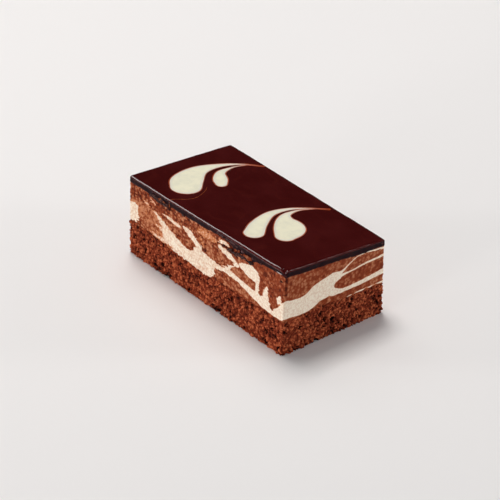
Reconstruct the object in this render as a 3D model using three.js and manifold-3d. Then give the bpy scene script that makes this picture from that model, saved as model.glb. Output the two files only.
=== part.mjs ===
// A cut piece of chocolate mousse cake, in millimetres: a cocoa sponge base, a marbled mousse layer
// and a dark chocolate glaze with two white chocolate swirls drawn into it.
// +X runs along the length, -Y is the long cut side, +Z is up. The origin is the middle of the base.

import * as THREE from "three";
import { mergeVertices } from "three/addons/utils/BufferGeometryUtils.js";
import Module from "manifold-3d";

const wasm = await Module();
wasm.setup();

const { clamp, degToRad, euclideanModulo, lerp, smoothstep } = THREE.MathUtils;

// ---- Driving dimensions -------------------------------------------------------------------------

const LENGTH = 96;
const WIDTH = 50;

// The tray bake it was cut from wasn't quite level, so each top corner has its own height.
const CORNER_HEIGHT = { frontLeft: 35.2, frontRight: 36.6, backRight: 33.2, backLeft: 33.4 };

const SPONGE_HEIGHT = 14.2;
const GLAZE_THICKNESS = 2.6;
const LAYER_GAP = 0.3;
const GLAZE_OVERHANG = 0.4; // how far the glaze stands out past the layers below it
const CORNER_RADIUS = 1.6; // of the upright corners
const GLAZE_EDGE_RADIUS = 0.7;

// Where the line between two layers leaves its usual level. A swell is centred at a distance round
// the sides from the front left corner, going by the front right one, and dies out over its reach.
const SPONGE_TOP_SWELLS = [
  { at: 8, reach: 28, rise: 0.8 },
  { at: 50, reach: 22, rise: -1.2 },
  { at: 86, reach: 18, rise: 0.8 },
  { at: 113, reach: 14, rise: 1.3 },
  { at: 148, reach: 16, rise: -0.5 },
  { at: 176, reach: 20, rise: 0.9 },
  { at: 214, reach: 18, rise: -0.8 },
  { at: 255, reach: 20, rise: 0.7 },
];
const GLAZE_EDGE_SWELLS = [
  { at: 20, reach: 9, rise: -1.9 }, // dragged down by the knife
  { at: 57, reach: 12, rise: 0.6 },
  { at: 72, reach: 11, rise: -3.0 }, // dragged down by the knife
  { at: 92, reach: 8, rise: 0.5 },
  { at: 134, reach: 16, rise: -0.4 },
  { at: 166, reach: 9, rise: -1.2 },
  { at: 204, reach: 14, rise: -1.8 },
  { at: 228, reach: 10, rise: 0.5 },
  { at: 262, reach: 12, rise: -0.9 },
];

const CRUMB_SIZE = 2.0;
const CRUMB_RELIEF = 0.6;
const DRAG_MARK_WIDTH = 1.5; // of the upright marks that the knife left on the mousse
const DRAG_MARK_LENGTH = 8;
const DRAG_MARK_RELIEF = 0.18;

const SWIRL_THICKNESS = 1.1;
const SWIRL_CLEARANCE = 0.3;

// Each swirl is two drops, and each drop is one stroke from the tip of its tail to its round head,
// as [x, y, half the stroke's width].
const SWIRLS = {
  swirl_left: [
    [
      [-24.8, 23.6, 0.3], [-31.0, 17.3, 0.5], [-35.1, 9.0, 1.4],
      [-35.9, -0.4, 3.7], [-31.9, -8.7, 6.3], [-27.5, -12.7, 6.2],
    ],
    [[-29.6, 18.5, 0.3], [-30.8, 12.6, 0.4], [-29.7, 6.1, 1.7], [-25.3, 2.4, 2.9], [-21.8, 0.2, 2.3]],
  ],
  swirl_right: [
    [
      [17.7, 22.2, 0.3], [12.4, 15.2, 0.4], [9.0, 8.1, 0.9],
      [8.6, -0.1, 1.9], [12.7, -8.8, 3.3], [17.3, -14.8, 4.0],
    ],
    [
      [14.3, 17.7, 0.3], [12.0, 11.2, 0.4], [12.5, 5.3, 1.5],
      [16.0, 1.7, 3.5], [21.8, -0.9, 6.1], [25.7, -6.4, 4.0],
    ],
  ],
};

const COLOURS = { sponge: 0x6e3320, mousse: 0xb98a6d, glaze: 0x2c0a0b, whiteChocolate: 0xe6dfc5 };

// How finely the shapes are divided.
const RING_STEP = 1.6; // between the points of a ring
const SPONGE_ROWS = 9;
const MOUSSE_ROWS = 5;
const GLAZE_EDGE_ANGLES = [0, 45, 90].map(degToRad);
const RIM_WIDTH = 4; // an uneven rim flattens out into its layer over this distance
const STROKE_STEPS = 32;
const STROKE_END_STEPS = 10;

// ---- Heights and relief -------------------------------------------------------------------------

const PERIMETER = 2 * (LENGTH + WIDTH);

// Height of the glaze's top over a point of the plan.
function topHeight(x, y) {
  const along = x / LENGTH + 0.5;
  const front = lerp(CORNER_HEIGHT.frontLeft, CORNER_HEIGHT.frontRight, along);
  const back = lerp(CORNER_HEIGHT.backLeft, CORNER_HEIGHT.backRight, along);
  return lerp(front, back, y / WIDTH + 0.5);
}

// What a list of swells adds up to at a distance round the sides.
function swellAt(swells, distance) {
  return swells.reduce((sum, { at, reach, rise }) => {
    const away = Math.abs(euclideanModulo(distance - at + PERIMETER / 2, PERIMETER) - PERIMETER / 2);
    return sum + rise * (1 - smoothstep(away, 0, reach));
  }, 0);
}

// A repeatable number from 0 to 1 for each corner of a lattice.
function latticeValue(i, j, k) {
  const mixed = Math.sin(i * 127.1 + j * 311.7 + k * 74.7) * 43758.5453;
  return mixed - Math.floor(mixed);
}

// Smooth noise from -1 to 1, with lumps about one unit across.
function lumps(...place) {
  const cell = place.map(Math.floor);
  const share = place.map((value, axis) => smoothstep(value - cell[axis], 0, 1));
  let sum = 0;
  for (let corner = 0; corner < 8; corner += 1) {
    const step = [corner & 1, (corner >> 1) & 1, corner >> 2];
    const weight = step.reduce((w, on, axis) => w * (on ? share[axis] : 1 - share[axis]), 1);
    sum += weight * latticeValue(...cell.map((value, axis) => value + step[axis]));
  }
  return 2 * sum - 1;
}

// Relief is how far a side stands out from its plan at a point and a height, never past the glaze.
const crumbRelief = ({ place }, z) =>
  CRUMB_RELIEF * (lumps(place.x / CRUMB_SIZE, place.y / CRUMB_SIZE, z / CRUMB_SIZE) - 0.35);

const dragMarkRelief = ({ place }, z) =>
  DRAG_MARK_RELIEF *
  (lumps(place.x / DRAG_MARK_WIDTH, place.y / DRAG_MARK_WIDTH, z / DRAG_MARK_LENGTH) - 1);

// ---- Rings and lofts ----------------------------------------------------------------------------

// A plan of the piece as a closed ring of points, inset from its sides, that starts at the front
// left corner and runs counterclockwise. Each point has its place, the way outward and its distance
// round the sides.
function planRing(inset) {
  const halfLength = LENGTH / 2 - inset;
  const halfWidth = WIDTH / 2 - inset;
  const corners = [[-1, -1], [1, -1], [1, 1], [-1, 1]].map(([x, y]) => [x * halfLength, y * halfWidth]);
  const ring = [];
  let travelled = 0;
  corners.forEach(([x, y], side) => {
    const [nextX, nextY] = corners[(side + 1) % corners.length];
    const sideLength = side % 2 ? WIDTH : LENGTH;
    const steps = Math.round(sideLength / RING_STEP);
    for (let i = 0; i < steps; i += 1) {
      const share = i / steps;
      const square = new THREE.Vector2(lerp(x, nextX, share), lerp(y, nextY, share));
      const core = new THREE.Vector2(
        clamp(square.x, CORNER_RADIUS - halfLength, halfLength - CORNER_RADIUS),
        clamp(square.y, CORNER_RADIUS - halfWidth, halfWidth - CORNER_RADIUS),
      );
      const outward = square.sub(core).normalize();
      const place = core.addScaledVector(outward, CORNER_RADIUS);
      ring.push({ place, outward, distance: travelled + share * sideLength });
    }
    travelled += sideLength;
  });
  return ring;
}

// One ring of a side: the plan moved out by relief(point, z), at the height that height(point) gives.
function sideRing(plan, height, relief = () => 0) {
  return plan.map((point) => {
    const z = height(point);
    const { x, y } = point.place.clone().addScaledVector(point.outward, relief(point, z));
    return new THREE.Vector3(x, y, z);
  });
}

// The ring inside a layer's rim, at the height that height(x, y) gives.
function innerRing(plan, height) {
  return plan.map(({ place }) => {
    const x = place.x * (1 - RIM_WIDTH / (LENGTH / 2));
    const y = place.y * (1 - RIM_WIDTH / (WIDTH / 2));
    return new THREE.Vector3(x, y, height(x, y));
  });
}

// A closed geometry through a stack of rings of the same count, the lowest first. A fan to the mean
// of its points closes the first ring and the last.
function loft(rings) {
  const count = rings[0].length;
  const lastRow = (rings.length - 1) * count;
  const fanCentres = [rings[0], rings[rings.length - 1]].map((ring) =>
    ring.reduce((sum, point) => sum.add(point), new THREE.Vector3()).divideScalar(count),
  );
  const bottom = rings.length * count;
  const top = bottom + 1;
  const faces = [];
  for (let i = 0; i < count; i += 1) {
    const next = (i + 1) % count;
    faces.push(bottom, next, i, top, lastRow + i, lastRow + next);
    for (let row = 0; row < rings.length - 1; row += 1) {
      const [a, b, c, d] = [i, next, count + next, count + i].map((corner) => corner + row * count);
      // The diagonals alternate, so that relief gets no grain.
      faces.push(...((i + row) % 2 ? [a, b, c, a, c, d] : [a, b, d, b, c, d]));
    }
  }
  const geometry = new THREE.BufferGeometry().setFromPoints([...rings.flat(), ...fanCentres]);
  geometry.setIndex(faces);
  return geometry;
}

// ---- The three layers ---------------------------------------------------------------------------

const spongeTop = ({ distance }) => SPONGE_HEIGHT + swellAt(SPONGE_TOP_SWELLS, distance);
const glazeUnderside = (x, y) => topHeight(x, y) - GLAZE_THICKNESS;
const glazeLowerEdge = ({ place, distance }) =>
  glazeUnderside(place.x, place.y) + swellAt(GLAZE_EDGE_SWELLS, distance);

function spongeGeometry() {
  const plan = planRing(GLAZE_OVERHANG);
  const rings = [];
  for (let row = 0; row <= SPONGE_ROWS; row += 1) {
    rings.push(sideRing(plan, (point) => (spongeTop(point) * row) / SPONGE_ROWS, crumbRelief));
  }
  rings.push(innerRing(plan, () => SPONGE_HEIGHT));
  return loft(rings);
}

function mousseGeometry() {
  const plan = planRing(GLAZE_OVERHANG);
  const bottom = (point) => spongeTop(point) + LAYER_GAP;
  const top = (point) => glazeLowerEdge(point) - LAYER_GAP;
  const rings = [innerRing(plan, () => SPONGE_HEIGHT + LAYER_GAP)];
  for (let row = 0; row <= MOUSSE_ROWS; row += 1) {
    const height = (point) => lerp(bottom(point), top(point), row / MOUSSE_ROWS);
    rings.push(sideRing(plan, height, dragMarkRelief));
  }
  rings.push(innerRing(plan, (x, y) => glazeUnderside(x, y) - LAYER_GAP));
  return loft(rings);
}

function glazeGeometry() {
  const underPlan = planRing(GLAZE_OVERHANG);
  const plan = planRing(0);
  const top = ({ place }) => topHeight(place.x, place.y);
  const rings = [
    innerRing(underPlan, glazeUnderside),
    sideRing(underPlan, glazeLowerEdge),
    sideRing(plan, (point) => glazeLowerEdge(point) + GLAZE_OVERHANG),
  ];
  for (const angle of GLAZE_EDGE_ANGLES) {
    const drop = GLAZE_EDGE_RADIUS * (1 - Math.sin(angle));
    const inset = GLAZE_EDGE_RADIUS * (1 - Math.cos(angle));
    rings.push(sideRing(plan, (point) => top(point) - drop, () => -inset));
  }
  return loft(rings);
}

// ---- The white chocolate swirls -----------------------------------------------------------------

// The outline of a drop, grown all round: the line that hugs a row of circles along its stroke.
function dropOutline(stroke, grow) {
  const curve = new THREE.CatmullRomCurve3(stroke.map((knot) => new THREE.Vector3(...knot)));
  const circles = curve.getSpacedPoints(STROKE_STEPS);
  const onCircle = ({ x, y, z }, angle) =>
    new THREE.Vector2(x + (z + grow) * Math.cos(angle), y + (z + grow) * Math.sin(angle));
  const hug = circles.map((circle, i) => {
    const from = circles[Math.max(i - 1, 0)];
    const step = circles[Math.min(i + 1, STROKE_STEPS)].clone().sub(from);
    const heading = Math.atan2(step.y, step.x);
    return { circle, heading, lean: Math.acos(-step.z / Math.hypot(step.x, step.y)) };
  });
  const side = (sign) => hug.map(({ circle, heading, lean }) => onCircle(circle, heading + sign * lean));
  const end = ({ circle, heading, lean }, sweep) =>
    Array.from({ length: STROKE_END_STEPS - 1 }, (_, i) => {
      const share = (i + 1) / STROKE_END_STEPS;
      return onCircle(circle, heading + lerp(sweep.from * lean, sweep.to(lean), share));
    });
  const head = end(hug[STROKE_STEPS], { from: 1, to: (lean) => -lean });
  const tail = end(hug[0], { from: -1, to: (lean) => lean - 2 * Math.PI });
  return [...side(1), ...head, ...side(-1).reverse(), ...tail];
}

// A closed geometry as a manifold-3d solid.
function asSolid(geometry) {
  const bare = geometry.clone();
  bare.deleteAttribute("normal");
  bare.deleteAttribute("uv");
  const merged = mergeVertices(bare);
  const mesh = new wasm.Mesh({
    numProp: 3,
    vertProperties: merged.getAttribute("position").array,
    triVerts: new Uint32Array(merged.index.array),
  });
  return new wasm.Manifold(mesh);
}

function asGeometry(solid) {
  const { vertProperties, triVerts } = solid.getMesh();
  const geometry = new THREE.BufferGeometry();
  geometry.setAttribute("position", new THREE.BufferAttribute(vertProperties, 3));
  geometry.setIndex(new THREE.BufferAttribute(triVerts, 1));
  return geometry;
}

// An upright block over a swirl, from this depth under the glaze's top to just over it.
function swirlBlock(strokes, grow, depth) {
  return strokes
    .map((stroke) => {
      const shape = new THREE.Shape(dropOutline(stroke, grow));
      const block = new THREE.ExtrudeGeometry(shape, { depth: depth + 1, steps: 1, bevelEnabled: false });
      const points = block.getAttribute("position");
      for (let i = 0; i < points.count; i += 1) {
        points.setZ(i, points.getZ(i) - depth + topHeight(points.getX(i), points.getY(i)));
      }
      return asSolid(block);
    })
    .reduce((whole, drop) => whole.add(drop));
}

// ---- The piece ----------------------------------------------------------------------------------

const cake = new THREE.Group();

function addPiece(name, geometry, color, roughness) {
  geometry.computeVertexNormals();
  const mesh = new THREE.Mesh(geometry, new THREE.MeshStandardMaterial({ color, roughness, metalness: 0 }));
  mesh.name = name;
  cake.add(mesh);
}

addPiece("sponge_base", spongeGeometry(), COLOURS.sponge, 0.95);
addPiece("marbled_mousse", mousseGeometry(), COLOURS.mousse, 0.7);

const glaze = asSolid(glazeGeometry());
let pocketedGlaze = glaze;
for (const [name, strokes] of Object.entries(SWIRLS)) {
  const pocket = swirlBlock(strokes, SWIRL_CLEARANCE, SWIRL_THICKNESS + SWIRL_CLEARANCE);
  const swirl = glaze.intersect(swirlBlock(strokes, 0, SWIRL_THICKNESS));
  pocketedGlaze = pocketedGlaze.subtract(pocket);
  addPiece(name, asGeometry(swirl), COLOURS.whiteChocolate, 0.3);
}
addPiece("chocolate_glaze", asGeometry(pocketedGlaze), COLOURS.glaze, 0.15);

export default cake;
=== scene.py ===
"""A cut piece of chocolate mousse cake: cocoa sponge, marbled mousse, dark glaze and two white swirls.

Lengths are in millimetres until a mesh is written, which is in metres. The frame has +X along the
long side, -Y at the long cut side, +Z up and the origin in the middle of the base. A place on the
sides is also given as a distance round them from the front left corner, by way of the front right.
"""

import logging
import math
from collections.abc import Callable, Sequence
from dataclasses import dataclass, field
from enum import Enum

import bmesh
import bpy
import numpy as np
from mathutils import Matrix, Vector


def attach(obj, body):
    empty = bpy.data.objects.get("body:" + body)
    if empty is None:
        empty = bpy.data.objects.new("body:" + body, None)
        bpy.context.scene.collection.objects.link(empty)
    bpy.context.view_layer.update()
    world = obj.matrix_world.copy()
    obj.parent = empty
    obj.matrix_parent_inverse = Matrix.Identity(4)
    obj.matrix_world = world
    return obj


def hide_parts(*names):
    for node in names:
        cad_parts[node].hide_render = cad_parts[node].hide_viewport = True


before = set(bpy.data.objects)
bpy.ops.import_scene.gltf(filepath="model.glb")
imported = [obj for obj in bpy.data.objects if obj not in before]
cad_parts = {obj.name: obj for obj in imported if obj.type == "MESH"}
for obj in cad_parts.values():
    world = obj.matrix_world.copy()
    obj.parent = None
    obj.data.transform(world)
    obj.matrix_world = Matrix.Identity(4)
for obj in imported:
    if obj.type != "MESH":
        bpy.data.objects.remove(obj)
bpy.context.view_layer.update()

MM = 0.001

log = logging.getLogger("cake")

Knots = tuple[tuple[float, float, float], ...]
Colour = tuple[float, float, float]


# ---- Numbers and noise --------------------------------------------------------------------------


def ease(value: np.ndarray, start: float, stop: float) -> np.ndarray:
    """Run smoothly from 0 at start to 1 at stop.

    Args:
        value: The values to ease.
        start: Where the result is 0.
        stop: Where the result is 1; it may lie below start.

    Returns:
        The eased values.
    """
    share = np.clip((value - start) / (stop - start), 0.0, 1.0)
    return share * share * (3.0 - 2.0 * share)


def srgb(red: int, green: int, blue: int) -> Colour:
    """Turn a colour as it looks on screen into the linear values that shaders take.

    Args:
        red: Red from 0 to 255.
        green: Green from 0 to 255.
        blue: Blue from 0 to 255.

    Returns:
        The linear colour.
    """
    parts = [channel / 255.0 for channel in (red, green, blue)]
    return tuple(p / 12.92 if p <= 0.04045 else ((p + 0.055) / 1.055) ** 2.4 for p in parts)


class Grain:
    """Repeatable noise over points in millimetres."""

    PRIMES = (374761393, 668265263, 2246822519)

    @classmethod
    def draw(cls, cells: np.ndarray, seed: int) -> np.ndarray:
        """Draw a number from 0 to 1 for each whole-numbered cell.

        Args:
            cells: Cell indices, with three in the last axis.
            seed: Which series of draws to use.

        Returns:
            One number for each cell.
        """
        mixed = np.full(cells.shape[:-1], seed * 3266489917 % 2**32, np.uint32)
        for axis, prime in enumerate(cls.PRIMES):
            mixed ^= cells[..., axis].astype(np.int64).astype(np.uint32) * np.uint32(prime)
            mixed = (mixed ^ (mixed >> np.uint32(15))) * np.uint32(2654435761)
        return (mixed ^ (mixed >> np.uint32(13))) / 2.0**32

    @classmethod
    def smooth(cls, points: np.ndarray, size: float | Sequence[float], seed: int) -> np.ndarray:
        """Give smooth noise from -1 to 1.

        Args:
            points: Places, with three coordinates in the last axis.
            size: How far apart its lumps are, the same each way or one for each axis.
            seed: Which noise to use.

        Returns:
            The noise at each point.
        """
        scaled = points / np.asarray(size, float)
        cell = np.floor(scaled)
        share = ease(scaled - cell, 0.0, 1.0)
        total = np.zeros(len(points))
        for corner in np.ndindex(2, 2, 2):
            step = np.array(corner)
            weight = np.prod(np.where(step == 1, share, 1.0 - share), axis=1)
            total += weight * cls.draw(cell + step, seed)
        return 2.0 * total - 1.0

    @classmethod
    def fractal(
        cls, points: np.ndarray, size: float | Sequence[float], seed: int, octaves: int = 3
    ) -> np.ndarray:
        """Add up smooth noise at halving sizes and strengths.

        Args:
            points: Places, with three coordinates in the last axis.
            size: How far apart the largest lumps are.
            seed: Which noise to use.
            octaves: How many sizes of lump to add.

        Returns:
            The noise at each point, about -1 to 1.
        """
        layers = range(octaves)
        total = sum(
            cls.smooth(points, np.asarray(size, float) / 2**octave, seed + octave) / 2**octave
            for octave in layers
        )
        return total / sum(1 / 2**octave for octave in layers)

    @classmethod
    def nudge(cls, points: np.ndarray, size: float, amount: float, seed: int) -> np.ndarray:
        """Shift points each way by an amount of smooth noise, with this seed and the next two."""
        return points + amount * np.column_stack(
            [cls.smooth(points, size, seed + axis) for axis in range(3)]
        )

    @classmethod
    def balls(
        cls, points: np.ndarray, cell: float, radii: tuple[float, float], share: float, seed: int
    ) -> np.ndarray:
        """Say how deep each point lies in a scatter of balls, as a flat cut through them shows it.

        Args:
            points: Places, with three coordinates in the last axis.
            cell: The side of the cube that holds one ball.
            radii: The smallest and the largest ball.
            share: How many of the cubes hold a ball, from 0 to 1.
            seed: Which scatter to use.

        Returns:
            Half the chord through the ball at each point, or 0 outside all of them.
        """
        home = np.floor(points / cell)
        deepest = np.zeros(len(points))
        for offset in np.ndindex(3, 3, 3):
            near = home + np.array(offset) - 1
            jitter = np.stack([cls.draw(near, seed + axis) for axis in range(3)], axis=1)
            reach = np.sum((points - (near + jitter) * cell) ** 2, axis=1)
            radius = radii[0] + (radii[1] - radii[0]) * cls.draw(near, seed + 3) ** 2
            held = cls.draw(near, seed + 4) < share
            depth = np.sqrt(np.clip(radius**2 - reach, 0.0, None)) * held
            deepest = np.maximum(deepest, depth)
        return deepest


@dataclass(frozen=True)
class Bubbles:
    """A scatter of balls through the crumb: the side of the cube for each, their radii and share."""

    cell: float
    radii: tuple[float, float]
    share: float
    seed: int

    def depth(self, points: np.ndarray) -> np.ndarray:
        """Say how deep each point lies in the balls."""
        return Grain.balls(points, self.cell, self.radii, self.share, self.seed)


# ---- Strokes ------------------------------------------------------------------------------------


@dataclass(frozen=True)
class Ribbon:
    """A run of circles that swells and thins along a curve, like a drop or a streak of cream."""

    knots: Knots
    spacing: float = 0.2

    def circles(self) -> np.ndarray:
        """Lay circles closely along a smooth curve through the knots.

        Returns:
            Rows of x, y, radius and distance from the first knot.
        """
        knots = np.array(self.knots, float)
        before = np.vstack([2 * knots[0] - knots[1], knots[:-2], knots[-2]])[: len(knots) - 1]
        after = np.vstack([knots[2:], 2 * knots[-1] - knots[-2]])
        pieces = []
        for p0, p1, p2, p3 in zip(before, knots[:-1], knots[1:], after):
            steps = max(2, round(float(np.hypot(*(p2 - p1)[:2])) / self.spacing))
            t = (np.arange(steps) / steps)[:, None]
            bend = 2 * p1 + (p2 - p0) * t + (2 * p0 - 5 * p1 + 4 * p2 - p3) * t**2
            pieces.append(0.5 * (bend + (3 * p1 - p0 - 3 * p2 + p3) * t**3))
        line = np.vstack([*pieces, knots[-1:]])
        line[:, 2] = np.maximum(line[:, 2], 0.05)
        run = np.concatenate([[0.0], np.cumsum(np.hypot(*np.diff(line[:, :2], axis=0).T))])
        return np.column_stack([line, run])

    def nearest(
        self, places: np.ndarray, period: float = math.inf
    ) -> tuple[np.ndarray, np.ndarray, np.ndarray]:
        """Measure how far places are outside the ribbon.

        Args:
            places: Rows of x and y.
            period: The length after which x comes round again.

        Returns:
            The distance outside it (negative inside), the way outward, and how far along it each
            place is.
        """
        best = np.full(len(places), np.inf)
        outward = np.zeros((len(places), 2))
        along = np.zeros(len(places))
        for x, y, radius, run in self.circles():
            away = places - (x, y)
            if math.isfinite(period):
                away[:, 0] = (away[:, 0] + period / 2) % period - period / 2
            length = np.hypot(away[:, 0], away[:, 1])
            closer = length - radius < best
            best[closer] = (length - radius)[closer]
            outward[closer] = away[closer] / np.maximum(length[closer], 1e-6)[:, None]
            along[closer] = run
        return best, outward, along


# ---- The plan of the piece ----------------------------------------------------------------------


def read_corners(mesh: bpy.types.Mesh) -> np.ndarray:
    """Read a mesh's corners as rows of x, y and z."""
    flat = np.empty(3 * len(mesh.vertices), np.float32)
    mesh.vertices.foreach_get("co", flat)
    return flat.reshape(-1, 3)


def write_corners(mesh: bpy.types.Mesh, points: np.ndarray) -> None:
    """Put a mesh's corners at points that are given in millimetres."""
    mesh.vertices.foreach_set("co", (points * MM).astype(np.float32).ravel())


def node_points(name: str) -> np.ndarray:
    """Read the corners of a node of the frame, in millimetres."""
    return read_corners(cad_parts[name].data) / MM


@dataclass(frozen=True)
class CutError:
    """How far the knife left each corner off the square, in x and y, on one level of the piece."""

    front_left: tuple[float, float]
    front_right: tuple[float, float]
    back_right: tuple[float, float]
    back_left: tuple[float, float]

    def at(self, share: np.ndarray) -> np.ndarray:
        """Give the shift of places between the corners.

        Args:
            share: Rows of x and y, from -1 to 1 across the piece.

        Returns:
            Rows of the shift in x and y.
        """
        x, y = np.clip((share + 1) / 2, 0.0, 1.0).T[:, :, None]
        front = (1 - x) * self.front_left + x * self.front_right
        back = (1 - x) * self.back_left + x * self.back_right
        return (1 - y) * front + y * back


@dataclass(frozen=True)
class SlicePlan:
    """The rectangular plan of the piece, the slope of its top and the level lines on its sides."""

    half: np.ndarray
    top: np.ndarray
    sponge_line: np.ndarray
    glaze_line: np.ndarray
    corner_radius: float = 0.8
    calm_from: float = 60.0
    foot_error: CutError = CutError((-0.5, -0.3), (-0.1, -0.2), (-0.5, 0.4), (0.0, 0.3))
    top_error: CutError = CutError((0.1, -0.3), (0.3, 0.2), (0.0, -0.5), (0.7, 0.3))

    @classmethod
    def from_frame(cls, stations: int = 146) -> "SlicePlan":
        """Read the plan from the frame's nodes.

        Args:
            stations: How many places round the sides the lines are read at.

        Returns:
            The plan.
        """
        glaze = node_points("chocolate_glaze")
        half = np.abs(glaze[:, :2]).max(axis=0)
        blank = np.zeros(stations)
        plan = cls(half, np.zeros(4), blank, blank)

        def line(points: np.ndarray, reach: float, pick: Callable) -> np.ndarray:
            shell = points[(half - np.abs(points[:, :2])).min(axis=1) < reach]
            station = (plan.around(shell[:, :2]) / plan.perimeter * stations).astype(int) % stations
            rows = [shell[station == i] for i in range(stations)]
            return np.array([found[pick(found[:, 2])] for found in rows])

        rim = line(glaze, 0.9, np.argmax)
        terms = np.column_stack([np.ones(len(rim)), rim[:, 0], rim[:, 1], rim[:, 0] * rim[:, 1]])
        slope = np.linalg.lstsq(terms, rim[:, 2], rcond=None)[0]
        foot = line(glaze, 0.9, np.argmin)[:, 2]
        shelf = line(node_points("sponge_base"), 1.6, np.argmax)[:, 2]
        return cls(half, slope, shelf, foot)

    @property
    def perimeter(self) -> float:
        """The distance all the way round the sides."""
        return float(4 * self.half.sum())

    def around(self, places: np.ndarray) -> np.ndarray:
        """Say how far round the sides places are, seen from the middle.

        Args:
            places: Rows of x and y.

        Returns:
            The distance of each from the front left corner.
        """
        length, width = 2 * self.half
        share = places / self.half
        x, y = (share / np.maximum(np.abs(share).max(axis=1), 1e-9)[:, None]).T
        level = np.abs(y) >= np.abs(x)
        front = (x + 1) / 2 * length
        right = length + (y + 1) / 2 * width
        back = length + width + (1 - x) / 2 * length
        left = 2 * length + width + (1 - y) / 2 * width
        return np.where(level, np.where(y < 0, front, back), np.where(x > 0, right, left))

    def outward(self, places: np.ndarray) -> np.ndarray:
        """Give the way outward from the rounded sides at places on them.

        Args:
            places: Rows of x and y.

        Returns:
            Rows of unit length.
        """
        inner = self.half - self.corner_radius
        reach = places - np.clip(places, -inner, inner)
        return reach / np.maximum(np.hypot(*reach.T), 1e-6)[:, None]

    def top_height(self, places: np.ndarray) -> np.ndarray:
        """Give the height of the glaze's top over rows of x and y."""
        x, y = places.T
        return self.top @ np.array([np.ones(len(x)), x, y, x * y])

    def wall_place(self, around: float, depth: float) -> tuple[float, float]:
        """Give the x and y at a distance round the sides.

        Args:
            around: The distance.
            depth: How far in from the side the place is.

        Returns:
            The place.
        """
        x, y = (float(value) - depth for value in self.half)
        for length, start, step in (
            (2 * x, (-x, -y), (1, 0)), (2 * y, (x, -y), (0, 1)),
            (2 * x, (x, y), (-1, 0)), (2 * y, (-x, y), (0, -1)),
        ):
            if around <= length + 2 * depth:
                run = min(around, length)
                return start[0] + run * step[0], start[1] + run * step[1]
            around -= length + 2 * depth
        return -x, -y

    def line_height(self, line: np.ndarray, around: np.ndarray) -> np.ndarray:
        """Read one of the plan's level lines at distances round the sides."""
        stations = (np.arange(len(line)) + 0.5) * self.perimeter / len(line)
        return np.interp(around, stations, line, period=self.perimeter)

    def settle(self, mesh: bpy.types.Mesh) -> None:
        """Shift a finished mesh, in metres, by the errors of the cut.

        Args:
            mesh: The mesh.
        """
        points = read_corners(mesh).astype(float) / MM
        share = points[:, :2] / self.half
        rise = np.clip(points[:, 2] / self.top[0], 0.0, 1.0)[:, None]
        points[:, :2] += (1 - rise) * self.foot_error.at(share) + rise * self.top_error.at(share)
        write_corners(mesh, points)
        mesh.update()

    def rough(self, around: np.ndarray) -> np.ndarray:
        """Tell the long sides, torn by the knife, from the short sides, cut cleanly.

        Args:
            around: Distances round the sides.

        Returns:
            1 on a long side, less where the knife ran calmly at the end of the front, and 0 on a
            short side.
        """
        length, width = 2 * self.half
        away = np.abs((around + width / 2) % (length + width) - (length + width) / 2)
        calm = 0.6 * ease(around, self.calm_from, self.calm_from + 12) * (around < length + 0.5)
        return (1 - ease(away, length / 2 - 0.5, length / 2 + 0.5)) * (1 - calm)


@dataclass(frozen=True)
class WallGrid:
    """A wall of fine cells round the plan, one unit high, with rings and a face that close it."""

    plan: SlicePlan
    cell: float
    rows: int
    lower_insets: tuple[float, ...] = (4.0,)
    upper_insets: tuple[float, ...] = (4.0,)
    corner_segments: int = 6

    def build(self) -> bmesh.types.BMesh:
        """Make the closed shape.

        Returns:
            The shape, with an inset layer that says how far each corner is in from the wall.
        """
        bm = bmesh.new()
        length, width = 2 * self.plan.half
        block = Matrix.Diagonal((length, width, 1.0, 1.0)) @ Matrix.Translation((0, 0, 0.5))
        bmesh.ops.create_cube(bm, size=1.0, matrix=block)
        lids = [face for face in bm.faces if abs(face.normal.z) > 0.5]
        bmesh.ops.delete(bm, geom=lids, context="FACES_ONLY")
        bmesh.ops.bevel(
            bm, geom=self._edges_along(bm, 2), offset=self.plan.corner_radius, affect="EDGES",
            segments=self.corner_segments, profile=0.5, material=-1,
        )
        for axis, side in enumerate((length, width)):
            cuts = round(side / self.cell) - 1
            edges = [edge for edge in self._edges_along(bm, axis) if edge.calc_length() > side / 2]
            bmesh.ops.subdivide_edges(bm, edges=edges, cuts=cuts, use_grid_fill=True)
        bmesh.ops.subdivide_edges(
            bm, edges=self._edges_along(bm, 2), cuts=self.rows - 1, use_grid_fill=True
        )
        inset = bm.verts.layers.float.new("inset")
        for level, insets in ((0.0, self.lower_insets), (1.0, self.upper_insets)):
            rim = [e for e in bm.edges if e.is_boundary and all(v.co.z == level for v in e.verts)]
            self._close(bm, rim, insets, inset)
        bmesh.ops.recalc_face_normals(bm, faces=bm.faces)
        return bm

    @staticmethod
    def _edges_along(bm: bmesh.types.BMesh, axis: int) -> list[bmesh.types.BMEdge]:
        """List the edges that run along an axis (0, 1 or 2)."""
        return [
            edge for edge in bm.edges
            if abs((edge.verts[0].co - edge.verts[1].co).normalized()[axis]) > 0.999
        ]

    def _close(
        self, bm: bmesh.types.BMesh, rim: list[bmesh.types.BMEdge], insets: tuple[float, ...],
        layer: bmesh.types.BMLayerItem,
    ) -> None:
        """Close a rim with a ring at each inset and a face inside the last.

        Args:
            bm: The shape.
            rim: The rim's edges.
            insets: How far in from the wall each ring lies, rising.
            layer: Where each corner's inset is kept.
        """
        done = 0.0
        for inset in insets:
            made = bmesh.ops.extrude_edge_only(bm, edges=rim)["geom"]
            rim = [item for item in made if isinstance(item, bmesh.types.BMEdge)]
            corners = [item for item in made if isinstance(item, bmesh.types.BMVert)]
            x, y = (self.plan.half - inset) / (self.plan.half - done)
            bmesh.ops.scale(bm, vec=(x, y, 1.0), verts=corners)
            for corner in corners:
                corner[layer] = inset
            rim = [edge for edge in rim if edge.is_boundary]
            done = inset
        bmesh.ops.contextual_create(bm, geom=rim)


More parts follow.
